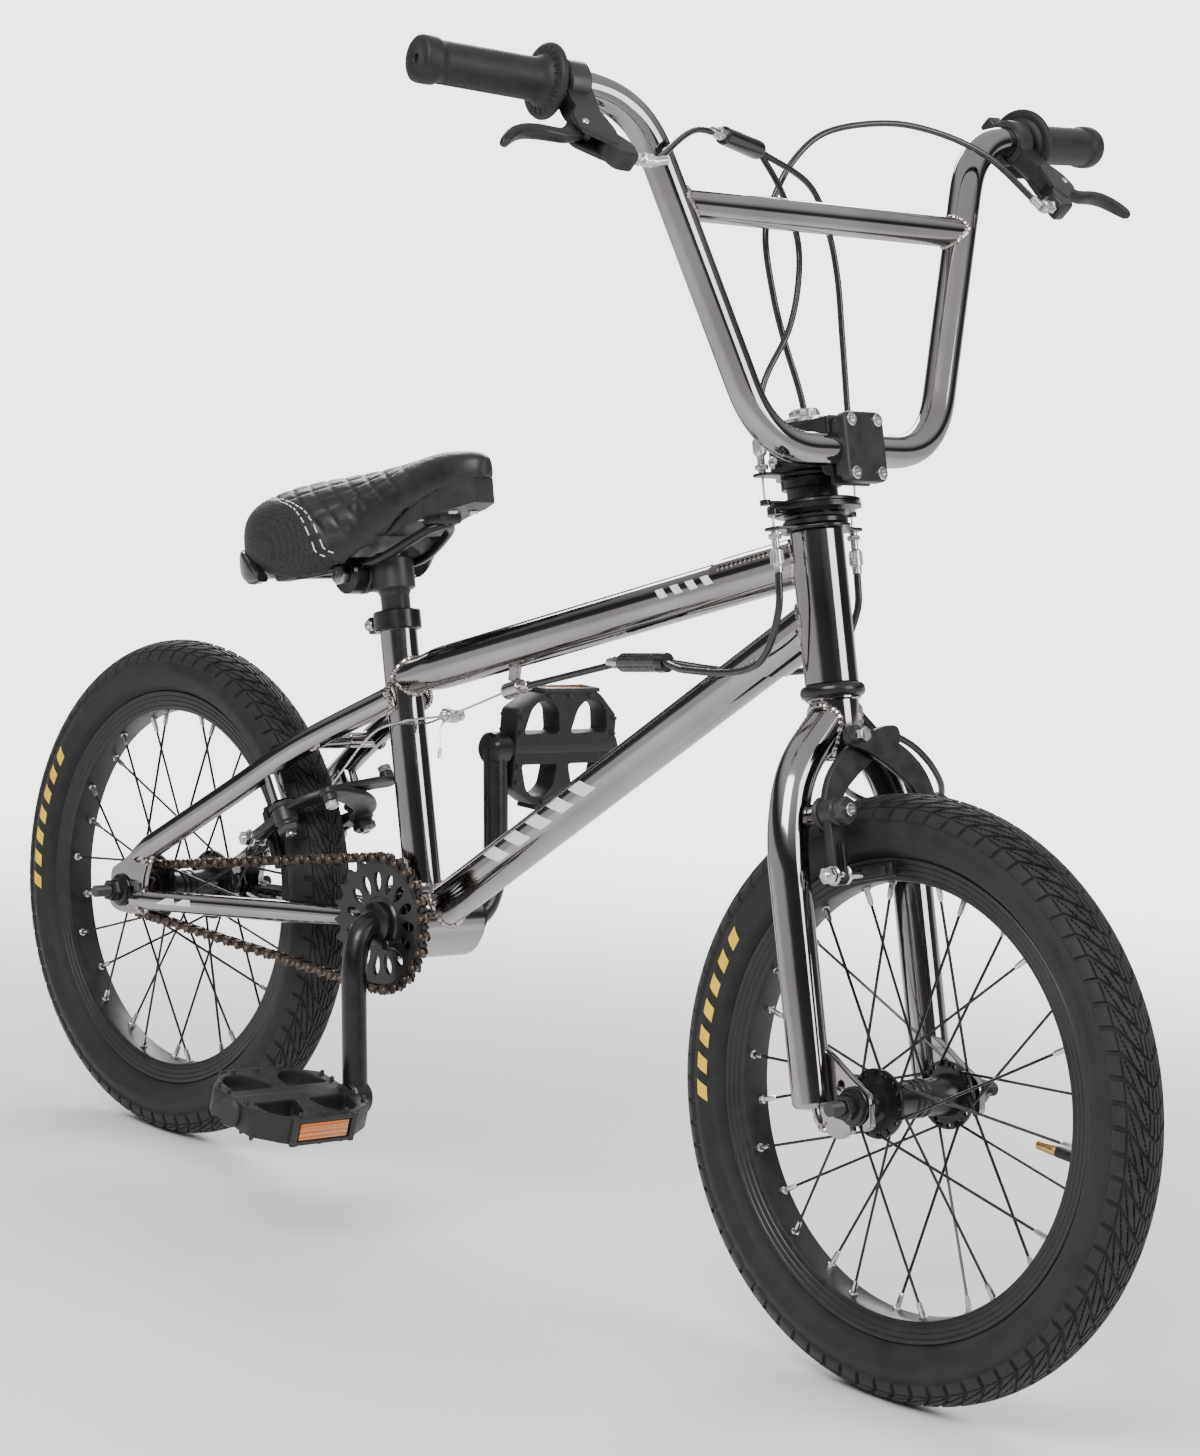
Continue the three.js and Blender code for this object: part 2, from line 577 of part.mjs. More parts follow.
// Brake lever: a plane through the bar end, reaching forward and down from it.
// g runs out along the bar, e away from it.
const leverForward = v(0.58, 0, -0.81);
leverForward.addScaledVector(gripDirection, -leverForward.dot(gripDirection)).normalize();
const leverNormal = gripDirection.clone().cross(leverForward).normalize();
const LEVER_CLAMP = 50;
const leverOrigin = BAR_TOP.clone().addScaledVector(gripDirection, LEVER_CLAMP);
const leverPoint = (g, e, n = 0) => leverOrigin.clone()
  .addScaledVector(gripDirection, g).addScaledVector(leverForward, e).addScaledVector(leverNormal, n);
const leverMatrix = new THREE.Matrix4()
  .makeBasis(gripDirection, leverForward, leverNormal)
  .setPosition(leverOrigin);

function leverPlate(outline, n, thickness, bevel = 0) {
  return plateFlat(outline, n, thickness, [], bevel).applyMatrix4(leverMatrix);
}

function leverBracket() {
  const clamp = rod(leverPoint(-8, 0), leverPoint(8, 0), 16.4, 14);
  const arm = leverPlate([
    [-8, 12], [8, 12], [17, 40], [17, 54], [4, 60], [-6, 72], [-20, 73], [-20, 60], [-10, 50]], -8, 16);
  const barrel = rod(leverPoint(-18, 66.5), leverPoint(-36, 66.5), 5.5, 12);
  const slot = leverPlate([[-2, 34], [30, 34], [30, 80], [-2, 66]], -4.3, 8.6);
  const barHole = rod(leverPoint(-30, 0), leverPoint(30, 0), boreRadius(BAR_R, 14), 14);
  return cut(join(clamp, arm, barrel), barHole, slot);
}

function leverBlade() {
  return leverPlate([
    [3, 44], [10, 40], [18, 44], [30, 49], [45, 50], [66, 52], [84, 64],
    [86, 72], [80, 75], [66, 65], [48, 61],
    [34, 61], [20, 60], [8, 56]], -4, 8, 1.5);
}

// ---------- gyro ----------
const ADJUSTER_LENGTH = 28;

// A thin ring with an ear each side; its two barrel adjusters stand up or hang down from the ears.
function gyroPlate(z, earY, thickness, adjusterDirection) {
  const middle = z + thickness / 2;
  const ear = (side) => new THREE.BoxGeometry(13, 16, thickness).translate(-2, side * (earY - 2), middle);
  const from = z + thickness / 2;
  const adjuster = (side) => rod(
    v(-2, side * earY, from), v(-2, side * earY, from + adjusterDirection * ADJUSTER_LENGTH), 4, 8);
  return join(ring(15.4, 25, z, z + thickness, 18),
    new THREE.BoxGeometry(14, earY - 20, thickness).translate(-2, (earY + 22) / 2, z + thickness / 2),
    new THREE.BoxGeometry(14, earY - 20, thickness).translate(-2, -(earY + 22) / 2, z + thickness / 2),
    ear(1), ear(-1), adjuster(1), adjuster(-1));
}

function gyroBearing() {
  return turned([
    [18, 391], [27, 391], [31.5, 393], [31.5, 399], [28, 400], [18, 400], [18, 391]], 20);
}

function headsetNut() {
  return turned([
    [14.6, 390.5], [17.2, 390.5], [17.2, 408.6], [20.5, 408.6],
    [20.5, 415.6], [14.6, 415.6], [14.6, 390.5]], 20);
}

function steererBolt() {
  return turned([
    [4, 430], [8.6, 430], [8.6, 452.4], [15, 452.4], [15, 456], [9, 457], [9, 462], [4, 462], [4, 430]], 16);
}

// ---------- crank and pedals, built about the bottom bracket with the right arm pointing down ----------
function crank() {
  const right = bentTube([
    v(0, -8, 0), v(0, -64, 0), v(0, -CRANK_ARM_Y, -30), v(0, -CRANK_ARM_Y, -CRANK_LENGTH)], 10, 9, 8, 9);
  const left = bentTube([
    v(0, 8, 0), v(0, 58, 0), v(0, CRANK_ARM_Y - 1, 32), v(0, CRANK_ARM_Y, CRANK_LENGTH)], 10, 9, 8, 9);
  const spindle = crossRod(0, 0, -52, 52, 11, 10);
  const rightEye = crossRod(0, -CRANK_LENGTH, -80, -63, 13, 10);
  const leftEye = crossRod(0, CRANK_LENGTH, 63, 80, 13, 10);
  const bore = (z) => crossRod(0, z, -90, 90, 7.4, 10);
  const cups = [[-BB_HALF_WIDTH - 1, -BB_HALF_WIDTH - 4], [BB_HALF_WIDTH + 1, BB_HALF_WIDTH + 4]]
    .map(([a, b]) => crossRod(0, 0, a, b, 22, 12));
  return cut(join(spindle, right, left, rightEye, leftEye, ...cups), bore(-CRANK_LENGTH), bore(CRANK_LENGTH));
}

function chainring() {
  const disc = turnedAcross([
    [12, CHAIN_Y - 1.6], [SPROCKET_R - CHAIN_HALF_HEIGHT - 0.9, CHAIN_Y - 1.6],
    [SPROCKET_R - CHAIN_HALF_HEIGHT - 0.9, CHAIN_Y + 1.6], [12, CHAIN_Y + 1.6], [12, CHAIN_Y - 1.6]], 24);
  const windows = [];
  for (let i = 0; i < 6; i += 1) {
    const angle = (2 * Math.PI * i) / 6;
    windows.push(crossRod(30 * Math.cos(angle), 30 * Math.sin(angle), CHAIN_Y - 5, CHAIN_Y + 5, 9, 6));
  }
  return cut(disc, ...windows);
}

function freewheel() {
  const edge = COG_R - CHAIN_HALF_HEIGHT - 0.8;
  return turnedAcross([
    [9.4, CHAIN_Y - 5], [edge - 1, CHAIN_Y - 5], [edge, CHAIN_Y - 2],
    [edge, CHAIN_Y + 2], [edge - 1, CHAIN_Y + 7],
    [9.4, CHAIN_Y + 7], [9.4, CHAIN_Y - 5]], 20);
}

// The chain as a closed belt round both toothed wheels.
function chain() {
  const between = v(BB_X, 0, BB_Z).sub(REAR_AXLE);
  const distance = between.length();
  const slope = Math.atan2(between.z, between.x);
  const spread = Math.acos((SPROCKET_R - COG_R) / distance);
  const outline = (offset) => {
    const points = [];
    const arc = (cx, cz, r, from, to, steps) => {
      for (let i = 0; i <= steps; i += 1) {
        const angle = from + ((to - from) * i) / steps;
        points.push([cx + r * Math.cos(angle), cz + r * Math.sin(angle)]);
      }
    };
    arc(BB_X, BB_Z, SPROCKET_R + offset, slope - Math.PI + spread, slope + Math.PI - spread, 16);
    arc(REAR_AXLE.x, REAR_AXLE.z, COG_R + offset, slope + Math.PI - spread, slope + Math.PI + spread, 7);
    return points;
  };
  return plateAcross(outline(CHAIN_HALF_HEIGHT), CHAIN_Y, 7.6, [outline(-CHAIN_HALF_HEIGHT)]);
}

// The left platform pedal about its spindle: outline with cut corners and four windows.
function pedal() {
  const y0 = PEDAL_INNER_Y - 72;
  const y1 = y0 + PEDAL_LENGTH;
  const half = PEDAL_WIDTH / 2;
  const outline = [
    [-half + 14, y0], [half - 14, y0], [half, y0 + 26], [half, y1 - 22], [half - 20, y1], [-half + 20, y1],
    [-half, y1 - 22], [-half, y0 + 26]];
  const windows = [];
  for (const sign of [-1, 1]) {
    for (const [low, high] of [[y0 + 12, y0 + 46], [y0 + 56, y1 - 12]]) {
      windows.push([[sign * 13, low], [sign * 33, low + 3], [sign * 34, high - 4], [sign * 14, high - 1]]);
    }
  }
  const platform = plateFlat(outline, -PEDAL_THICKNESS / 2, PEDAL_THICKNESS, windows);
  return cut(platform, crossRod(0, 0, -140, 140, 5.4, 10));
}

function pedalSpindle() {
  return join(
    crossRod(0, 0, -9, PEDAL_INNER_Y - 72 + PEDAL_LENGTH - 3, 4.8, 8),
    crossRod(0, 0, -8.5, 9, 6.2, 10),
    crossRod(0, 0, 8.4, 9.7, 8.5, 10));
}

// ---------- seat ----------
function seatClamp() {
  const collar = ring(SEAT_TUBE_R + GAP, 18, 0, 15, 24);
  const ears = new THREE.BoxGeometry(14, 12, 13).translate(-22, 0, 7.5);
  const bolt = rod(v(-23, -9, 7.5), v(-23, 9, 7.5), 4, 12);
  return onSeatTube(cut(join(collar, ears, bolt), rod(v(0, 0, -5), v(0, 0, 20), SEAT_TUBE_R + GAP, 24)), 219);
}

function seatPost() {
  return onSeatTube(turned([
    [0, 0], [POST_R, 0], [POST_R, 138], [SLEEVE_R, 140], [SLEEVE_R, 168], [0, 168]], 16), 110);
}

// Saddle pieces are built level about the clamp, nose to +X, then tilted nose-up.
const saddle = new THREE.Group();
const saddleCentre = seatPoint(276);
saddle.position.copy(saddleCentre);
saddle.rotation.y = -SADDLE_TILT;
saddle.updateMatrix();
bike.add(saddle);
const saddleInverse = saddle.matrix.clone().invert();
const inSaddle = (geometry) => geometry.clone().applyMatrix4(saddleInverse);
const RAIL_Y = 21;
const RAIL_R = 3.5;

// Both run from the tail to the nose: half-width of the cover, its lower edge and its top line.
const saddleHalfWidth = along([40, 70, 71, 60, 39, 29, 25, 20]);
const saddleEdge = along([2, -8, -20, -25, -9, 9, 18, 22]);
const saddleTop = along([44, 58, 62, 62, 62, 63, 65, 52]);
const SADDLE_TAIL = -138;
const SADDLE_NOSE = 118;
// The base and the hollow that takes it: half-width inside the cover, and height, from tail to nose.
const baseHalfWidth = along([33, 63, 64, 55, 35, 22, 19, 17]);
const baseHeight = along([-2, -6, 2, 10, 20, 24, 26, 30]);
const BASE_CLEARANCE = 6;           // between the base's rim and the cover
const BASE_THICKNESS = 7;

function saddleCushion() {
  const outer = roundedBody(SADDLE_TAIL, SADDLE_NOSE, saddleHalfWidth, saddleEdge, saddleTop, 0.62, 18, 16);
  const hollow = roundedBody(-132, 98, baseHalfWidth, (u) => baseHeight(u) - 44,
    (u) => baseHeight(u) + 18, 0.5, 14, 12);
  return cut(outer, hollow);
}

function saddleBase() {
  return roundedBody(-121, 88, (u) => baseHalfWidth(u) - BASE_CLEARANCE, (u) => baseHeight(u) - 1,
    (u) => baseHeight(u) - 1 + BASE_THICKNESS, 0.5, 14, 12);
}

function railPath() {
  return new THREE.CatmullRomCurve3([
    v(-92, -30, -11), v(-78, -27, -8), v(-40, -RAIL_Y, -4), v(10, -RAIL_Y, -4), v(44, -15, 6), v(60, -9, 12),
    v(66, 0, 14), v(60, 9, 12), v(44, 15, 6), v(10, RAIL_Y, -4), v(-40, RAIL_Y, -4),
    v(-78, 27, -8), v(-92, 30, -11)]);
}

// The clamp's cross pin: the rails and their two cheeks tilt about it.
const TILT_X = -22;
const TILT_Z = -12;
const TILT_PIN_R = 5;
const CHEEK_R = 14;

// The rails with the two toothed cheeks that grip them.
function saddleRails() {
  const cheek = (side) => crossRod(TILT_X, TILT_Z, side * 15, side * 29, CHEEK_R, 12);
  return cut(join(sweep(railPath(), RAIL_R, 8, 22), cheek(1), cheek(-1)),
    crossRod(TILT_X, TILT_Z, -40, 40, boreRadius(TILT_PIN_R, 10), 10));
}

// The clamp's middle: a collar on the post, a neck and a drum with the cross pin through it.
function saddleClamp() {
  const collar = inSaddle(onSeatTube(ring(boreRadius(SLEEVE_R, 14), 16.3, 250, 274, 14), 0));
  const drum = crossRod(TILT_X, TILT_Z, -14.5, 14.5, CHEEK_R, 12);
  const pin = crossRod(TILT_X, TILT_Z, -36, 36, TILT_PIN_R, 10);
  const neck = new THREE.BoxGeometry(16, 22, 16).translate(TILT_X + 10, 0, TILT_Z - 1);
  const bore = inSaddle(onSeatTube(rod(v(0, 0, 200), v(0, 0, 300), boreRadius(SLEEVE_R, 14), 14), 0));
  return cut(join(collar, drum, pin, neck), bore);
}

// ---------- cables ----------
const CABLE_R = 2.5;

// From the right lever to the splitter, then one cable to each side of the upper gyro plate.
function gyroUpperCables() {
  const start = mirroredPoint(leverPoint(-38, 66.5));
  const splitterIn = v(42, -96, 631);
  const splitterOut = v(28, -48, 628);
  const lead = cable([start, v(50, -128, 629), splitterIn], CABLE_R, 8, 6);
  const splitter = rod(splitterIn, splitterOut, 6.5, 10);
  const right = cable(
    [splitterOut, v(16, -18, 607), v(8, 2, 577), v(9, -1, 552), v(8, -14, 516), v(2, -38, 478),
      v(-2, -44, 447.6)], CABLE_R, 8, 10);
  const left = cable(
    [splitterOut, v(18, 10, 610), v(6, 36, 583), v(4, 42, 554), v(1, 44, 515), v(-2, 44, 447.6)],
    CABLE_R, 8, 11);
  return join(lead, splitter, right, left);
}

function mirroredPoint(point) {
  return v(point.x, -point.y, point.z);
}

// From the left lever over the crossbar, down through the hollow steerer bolt and out to the front brake.
function frontBrakeCable() {
  return cable([
    leverPoint(-38, 66.5), v(52, 150, 637), v(38, 96, 655), v(26, 60, 656), v(18, 24, 647), v(10, 4, 630),
    v(3, -7, 611), v(-3, -16, 584), v(-4, -14, 540), v(-3, -9, 509),
    v(0, 0, 462), v(0, 0, 350), v(0, 0, 226), v(-12, 12, 213), v(-23, 38, 203), v(-19, 72, 194), v(0, 90, 194),
    v(14, 82, 204), v(20, 66, 217), v(21.5, 50, 229), v(21, 34, 236),
  ], CABLE_R, 8, 46);
}

// From the lower gyro plate: two cables meet in a joiner under the top tube, one goes on to the stop.
function rearCableHousing() {
  const right = frontPoint(-2, -38, 351);
  const left = frontPoint(-2, 38, 351);
  const joinerIn = v(136, 0, 452);
  const joinerOut = v(90, 0, 446);
  const stop = v(-14, 0, 414);
  const run = (from, side) => cable([
    from, from.clone().add(v(3, 0, -25)), v(from.x - 14, side * 34, 468), v(176, side * 20, 452), joinerIn],
    CABLE_R, 8, 7);
  return join(run(right, -1), run(left, 1), rod(joinerIn, joinerOut, 7, 12), rod(joinerOut, stop, CABLE_R, 8),
    rod(stop, stop.clone().add(v(-14, 0, -5)), 6, 12));
}

// Bare wire from the stop to the hanger, and the straddle wire round the seat tube to both brake arms.
function rearStraddle() {
  const start = v(-28.6, 0, 409);
  const hanger = v(-88, 0, 383);
  const side = (s) => cable([hanger, v(-122, s * 15, 374), v(-150, s * 20, 362),
    rearBrakePoint(24, s * 31, 246)], 1.2, 8, 5);
  const hangerBody = rod(hanger.clone().add(v(8, 0, 3)), hanger.clone().add(v(-8, 0, -3)), 6, 10);
  return join(rod(start, hanger, 1.2, 8), hangerBody,
    side(1), side(-1));
}

// ---------- assembly ----------
add(bike, 'head_tube', headTube(), darkChrome);
add(bike, 'top_tube', topTube(), darkChrome);
add(bike, 'down_tube', downTube(), darkChrome);
add(bike, 'seat_tube', seatTube(), darkChrome);
add(bike, 'bottom_bracket_shell', bottomBracketShell(), darkChrome);
const rightChainstay = chainstay();
add(bike, 'chainstay_right', rightChainstay, darkChrome);
add(bike, 'chainstay_left', mirrored(rightChainstay), darkChrome);
const rightSeatstay = seatstay();
add(bike, 'seatstay_right', rightSeatstay, darkChrome);
add(bike, 'seatstay_left', mirrored(rightSeatstay), darkChrome);
add(bike, 'headset_cup_lower', leaned(ring(15.4, 23, 268, 276.7)), blackPaint);
add(bike, 'headset_cup_upper', leaned(ring(15.4, 22, 382.7, 390)), blackPaint);
add(bike, 'gyro_lower_plate', leaned(gyroPlate(380.4, 38, 2, -1)), blackPaint);
add(bike, 'rear_cable_housing', rearCableHousing(), blackCable);
add(bike, 'rear_straddle_wire', rearStraddle(), silver);
add(bike, 'rear_axle', moved(axleWithNuts(REAR_DROPOUT_Y, 88), REAR_AXLE.x, 0, REAR_AXLE.z), blackPaint);
add(bike, 'seat_clamp', seatClamp(), blackPaint);
add(bike, 'chain', chain(), bronzeChain);

add(bike, 'seat_post', seatPost(), blackPaint);
add(saddle, 'saddle_clamp', saddleClamp(), blackPaint);
add(saddle, 'saddle_rails', saddleRails(), blackPaint);
add(saddle, 'saddle_base', saddleBase(), greyPlastic);
add(saddle, 'saddle_cushion', saddleCushion(), saddleCover);

add(front, 'fork', fork(), darkChrome);
add(front, 'stem', stem(), blackPaint);
add(front, 'stem_faceplate', stemFaceplate(), blackPaint);
add(front, 'steerer_bolt', steererBolt(), silver);
add(front, 'headset_nut', headsetNut(), blackPaint);
add(front, 'handlebar', handlebar(), darkChrome);
add(front, 'grip_left', grip(), blackRubber);
add(front, 'grip_right', mirrored(grip()), blackRubber);
add(front, 'lever_bracket_left', leverBracket(), blackPaint);
add(front, 'lever_bracket_right', mirrored(leverBracket()), blackPaint);
add(front, 'brake_lever_left', leverBlade(), blackPaint);
add(front, 'brake_lever_right', mirrored(leverBlade()), blackPaint);
add(front, 'gyro_upper_plate', gyroPlate(416.2, 44, 2, 1), blackPaint);
add(front, 'gyro_bearing', gyroBearing(), blackPaint);
add(front, 'gyro_upper_cables', gyroUpperCables(), blackCable);
add(front, 'front_brake_cable', frontBrakeCable(), blackCable);
add(front, 'front_axle', moved(axleWithNuts(FRONT_DROPOUT_Y, 80), FORK_OFFSET, 0, 0), blackPaint);
add(front, 'front_brake_arm_right', brakeArm(BRAKE_PIVOT_Y_FRONT, 31, -3.5, FORK_OFFSET), blackPaint);
add(front, 'front_brake_arm_left', mirrored(brakeArm(BRAKE_PIVOT_Y_FRONT, 31, 3.5, FORK_OFFSET)), blackPaint);

add(rearBrake, 'rear_brake_arm_right', brakeArm(BRAKE_PIVOT_Y_REAR, 24, -3.5, 0), blackPaint);
add(rearBrake, 'rear_brake_arm_left', mirrored(brakeArm(BRAKE_PIVOT_Y_REAR, 24, 3.5, 0)), blackPaint);

wheel('rear', REAR_AXLE, 28, -28, 30, -36, 49.5, bike);
wheel('front', FRONT_AXLE, 23, -34, 34, -44.5, 44.5, bike);
add(bike, 'freewheel', moved(freewheel(), REAR_AXLE.x, 0, REAR_AXLE.z), blackPaint);

const crankset = new THREE.Group();
crankset.position.set(BB_X, 0, BB_Z);
crankset.rotation.y = -CRANK_TURN;
bike.add(crankset);
add(crankset, 'crank', crank(), blackPaint);
add(crankset, 'chainring', chainring(), blackPaint);
const forSide = (geometry, side) => (side > 0 ? geometry : mirrored(geometry));
for (const [name, side, tilt] of [['right', -1, -10], ['left', 1, 90]]) {
  const place = new THREE.Group();
  place.position.set(0, side * 72, side * CRANK_LENGTH);
  place.rotation.y = CRANK_TURN - THREE.MathUtils.degToRad(tilt);
  crankset.add(place);
  add(place, `pedal_${name}`, forSide(pedal(), side), blackPlastic);
  add(place, `pedal_spindle_${name}`, forSide(pedalSpindle(), side), blackPaint);
}

export default bike;
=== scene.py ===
"""BMX bike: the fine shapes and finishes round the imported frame.

Shapes are built in millimetres and turned to metres when a piece is made.
Groups of pieces have their own axes:
FRONT leans with the steering axis (x forward, y left, z up the axis, 0 level with the front axle).
STAY_BRAKE stands on the rear axle (x away from the seatstays, z along them).
SADDLE is tilted with the saddle (x forward, z up through the cover).
CRANK has z along the left crank arm. LEVER lies in the left brake lever's own plane.
"""
import json
import math

import bmesh
import bpy
import numpy as np
from mathutils import Matrix, Vector
from mathutils.bvhtree import BVHTree


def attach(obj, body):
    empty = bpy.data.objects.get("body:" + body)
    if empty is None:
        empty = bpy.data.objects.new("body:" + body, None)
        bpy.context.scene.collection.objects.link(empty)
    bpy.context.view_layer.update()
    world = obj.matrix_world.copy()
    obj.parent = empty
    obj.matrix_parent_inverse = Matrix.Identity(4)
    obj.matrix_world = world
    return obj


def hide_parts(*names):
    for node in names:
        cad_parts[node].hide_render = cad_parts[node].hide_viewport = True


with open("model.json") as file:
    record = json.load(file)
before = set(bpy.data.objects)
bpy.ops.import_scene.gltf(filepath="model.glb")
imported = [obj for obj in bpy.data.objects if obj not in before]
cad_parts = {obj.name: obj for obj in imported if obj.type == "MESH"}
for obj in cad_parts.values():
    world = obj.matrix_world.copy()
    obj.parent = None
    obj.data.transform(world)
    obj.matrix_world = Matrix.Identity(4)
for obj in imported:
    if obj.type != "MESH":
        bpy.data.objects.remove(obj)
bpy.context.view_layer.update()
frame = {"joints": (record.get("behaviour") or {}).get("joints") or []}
JOINTS = {joint["name"]: joint for joint in frame["joints"]}
LEFT = Vector((0, 1, 0))


# ---------- places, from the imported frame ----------
def joint_place(name):
    """Where a joint of the frame sits, in millimetres."""
    return Vector(JOINTS[name]["pos_m"]) * 1000


def axes_at(origin, up, across=LEFT):
    """A frame in millimetres: z along up, y along across."""
    up = Vector(up).normalized()
    forward = across.cross(up).normalized()
    across = up.cross(forward)
    return Matrix((
        (forward.x, across.x, up.x, origin.x),
        (forward.y, across.y, up.y, origin.y),
        (forward.z, across.z, up.z, origin.z),
        (0, 0, 0, 1)))


REAR_AXLE = joint_place("rear_wheel_spin")
FRONT_AXLE = joint_place("front_wheel_spin")
BB = joint_place("crank_spin")
STEER_UP = Vector(JOINTS["steering"]["axis"]).normalized()
SEAT_UP = Vector(JOINTS["seat_height"]["axis"]).normalized()
FRONT = axes_at(joint_place("steering"), STEER_UP)
BRAKE_FORWARD = Vector(JOINTS["rear_right_arm_swing"]["axis"])
STAY_BRAKE = axes_at(REAR_AXLE, BRAKE_FORWARD.cross(LEFT))
TYRE_R = FRONT_AXLE.z
TYRE_HALF = 23.5
RIM_INNER_R = 142.5
HEAD_LOW, HEAD_TOP, HEAD_R, HEAD_BORE = 277, 380, 18, 15.6
SEAT_TUBE_LENGTH, SEAT_TUBE_R, SEAT_TUBE_BORE = 233, 14, 11.6
TOP_TUBE_REAR_R = 13.4
MAIN_R, STAY_R, BAR_R, POST_R, CABLE_R = 15.9, 9.5, 11.1, 11.1, 2.5
BB_R, BB_HALF = 28, 34
DROPOUT_Y = 58
FORK_OFFSET = 34
# The brake bosses stand this far from the axle, along the fork and the seatstays.
BRAKE_W = 190
FRONT_PIVOT_Y, REAR_PIVOT_Y = 45, 37
BRIDGE = REAR_AXLE + Vector((192, 0, 148))
REAR_STOP = Vector((-14, 0, 414))


def seat_point(distance, y=0.0):
    """A point this far up the seat tube from the bottom bracket."""
    return BB + SEAT_UP * distance + LEFT * y


def front_point(x, y, z):
    """A point given in the steering's own axes."""
    return FRONT @ Vector((x, y, z))


SADDLE_HEIGHT = 276
SADDLE_TILT = math.radians(14.5)
SADDLE = axes_at(seat_point(SADDLE_HEIGHT), (-math.sin(SADDLE_TILT), 0, math.cos(SADDLE_TILT)))
PEDAL_PLACES = {"right": joint_place("right_pedal_spin"), "left": joint_place("left_pedal_spin")}
CRANK_UP = PEDAL_PLACES["left"] - BB
CRANK_UP.y = 0
CRANK_LENGTH = CRANK_UP.length
CRANK = axes_at(BB, CRANK_UP)


# ---------- shape helpers, in millimetres ----------
class Shape:
    """Points and faces gathered for one piece."""

    def __init__(self):
        self.points = []
        self.faces = []

    def add(self, other, place=None):
        """Takes in another shape, moved by a matrix if one is given."""
        start = len(self.points)
        place = place or Matrix()
        self.points.extend(place @ Vector(p) for p in other.points)
        self.faces.extend(tuple(i + start for i in face) for face in other.faces)
        return self


def gathered(*shapes):
    """Several shapes as one."""
    whole = Shape()
    for shape in shapes:
        whole.add(shape)
    return whole


def placed(shape, place):
    """A copy moved by a matrix."""
    return Shape().add(shape, place)


def shifted(shape, x, y, z):
    """A copy moved along the axes."""
    return placed(shape, Matrix.Translation((x, y, z)))


def turns_of(count):
    """Evenly spaced angles round a full turn."""
    return [2 * math.pi * k / count for k in range(count)]


def polar(radius, turn):
    """The x and y of a point on a circle."""
    return radius * math.cos(turn), radius * math.sin(turn)


def mirrored(shape):
    """A copy on the other side of the bike's middle plane."""
    other = Shape()
    other.points = [Vector((p[0], -p[1], p[2])) for p in shape.points]
    other.faces = [tuple(reversed(face)) for face in shape.faces]
    return other


def skin(rings, closed_length=False, closed_round=True, capped=True):
    """A surface through rings of equal point counts."""
    shape = Shape()
    size = len(rings[0])
    shape.points = [Vector(p) for ring in rings for p in ring]
    spans = len(rings) if closed_length else len(rings) - 1
    across = size if closed_round else size - 1
    for i in range(spans):
        a, b = i * size, ((i + 1) % len(rings)) * size
        for k in range(across):
            n = (k + 1) % size
            shape.faces.append((a + k, a + n, b + n, b + k))
    if capped and not closed_length:
        shape.faces.append(tuple(reversed(range(size))))
        shape.faces.append(tuple(range((len(rings) - 1) * size, len(rings) * size)))
    return shape


def tube(path, radius, sides=20, closed=False):
    """A tube through the points; radius is a number or one for each point."""
    path = [Vector(p) for p in path]
    last = len(path) - 1
    radii = radius if isinstance(radius, (list, tuple)) else [radius] * len(path)
    normal = None
    before = None
    rings = []
    for i, point in enumerate(path):
        behind = path[i - 1] if i > 0 or closed else path[0]
        ahead = path[(i + 1) % len(path)] if i < last or closed else path[last]
        along = (ahead - behind).normalized()
        if normal is None:
            normal = along.cross(LEFT)
            normal = normal.normalized() if normal.length > 0.1 else along.orthogonal().normalized()
        else:
            normal = before.rotation_difference(along) @ normal
        side = along.cross(normal)
        rings.append([point + radii[i] * (normal * math.cos(t) + side * math.sin(t))
                      for t in turns_of(sides)])
        before = along
    return skin(rings, closed_length=closed)


def rod(a, b, radius, sides=20, end_radius=None, bevel=0.6):
    """A straight bar with softened ends."""
    a, b = Vector(a), Vector(b)
    end_radius = radius if end_radius is None else end_radius
    along = (b - a).normalized()
    bevel = min(bevel, radius * 0.5, (b - a).length * 0.3)
    path = [a, a + along * bevel, b - along * bevel, b]
    return tube(path, [radius - bevel, radius, end_radius, end_radius - bevel], sides)


def cross_rod(x, z, from_y, to_y, radius, sides=20, bevel=0.6):
    """A rod from side to side."""
    return rod((x, from_y, z), (x, to_y, z), radius, sides, bevel=bevel)


def bent_path(points, bend, steps=8):
    """Straight runs with their corners rounded."""
    points = [Vector(p) for p in points]
    path = [points[0]]
    for i in range(1, len(points) - 1):
        into = (points[i] - points[i - 1]).normalized()
        out = (points[i + 1] - points[i]).normalized()
        start, end = points[i] - into * bend, points[i] + out * bend
        for k in range(steps + 1):
            t = k / steps
            path.append(start * (1 - t) ** 2 + points[i] * 2 * t * (1 - t) + end * t * t)
    path.append(points[-1])
    return path


def smooth_path(points, steps=8):
    """A centripetal curve through the points, as the CAD's cables follow."""
    points = [Vector(p) for p in points]
    ends = [points[0] * 2 - points[1]] + points + [points[-1] * 2 - points[-2]]
    path = []
    for i in range(1, len(ends) - 2):
        p0, p1, p2, p3 = ends[i - 1:i + 3]
        d = [math.sqrt(max((b - a).length, 1e-6)) for a, b in ((p0, p1), (p1, p2), (p2, p3))]
        into = ((p1 - p0) / d[0] - (p2 - p0) / (d[0] + d[1]) + (p2 - p1) / d[1]) * d[1]
        out = ((p2 - p1) / d[1] - (p3 - p1) / (d[1] + d[2]) + (p3 - p2) / d[2]) * d[1]
        for k in range(steps):
            t = k / steps
            path.append(p1 * (2 * t ** 3 - 3 * t ** 2 + 1) + into * (t ** 3 - 2 * t ** 2 + t)
                        + p2 * (3 * t ** 2 - 2 * t ** 3) + out * (t ** 3 - t ** 2))
    path.append(points[-1])
    return path


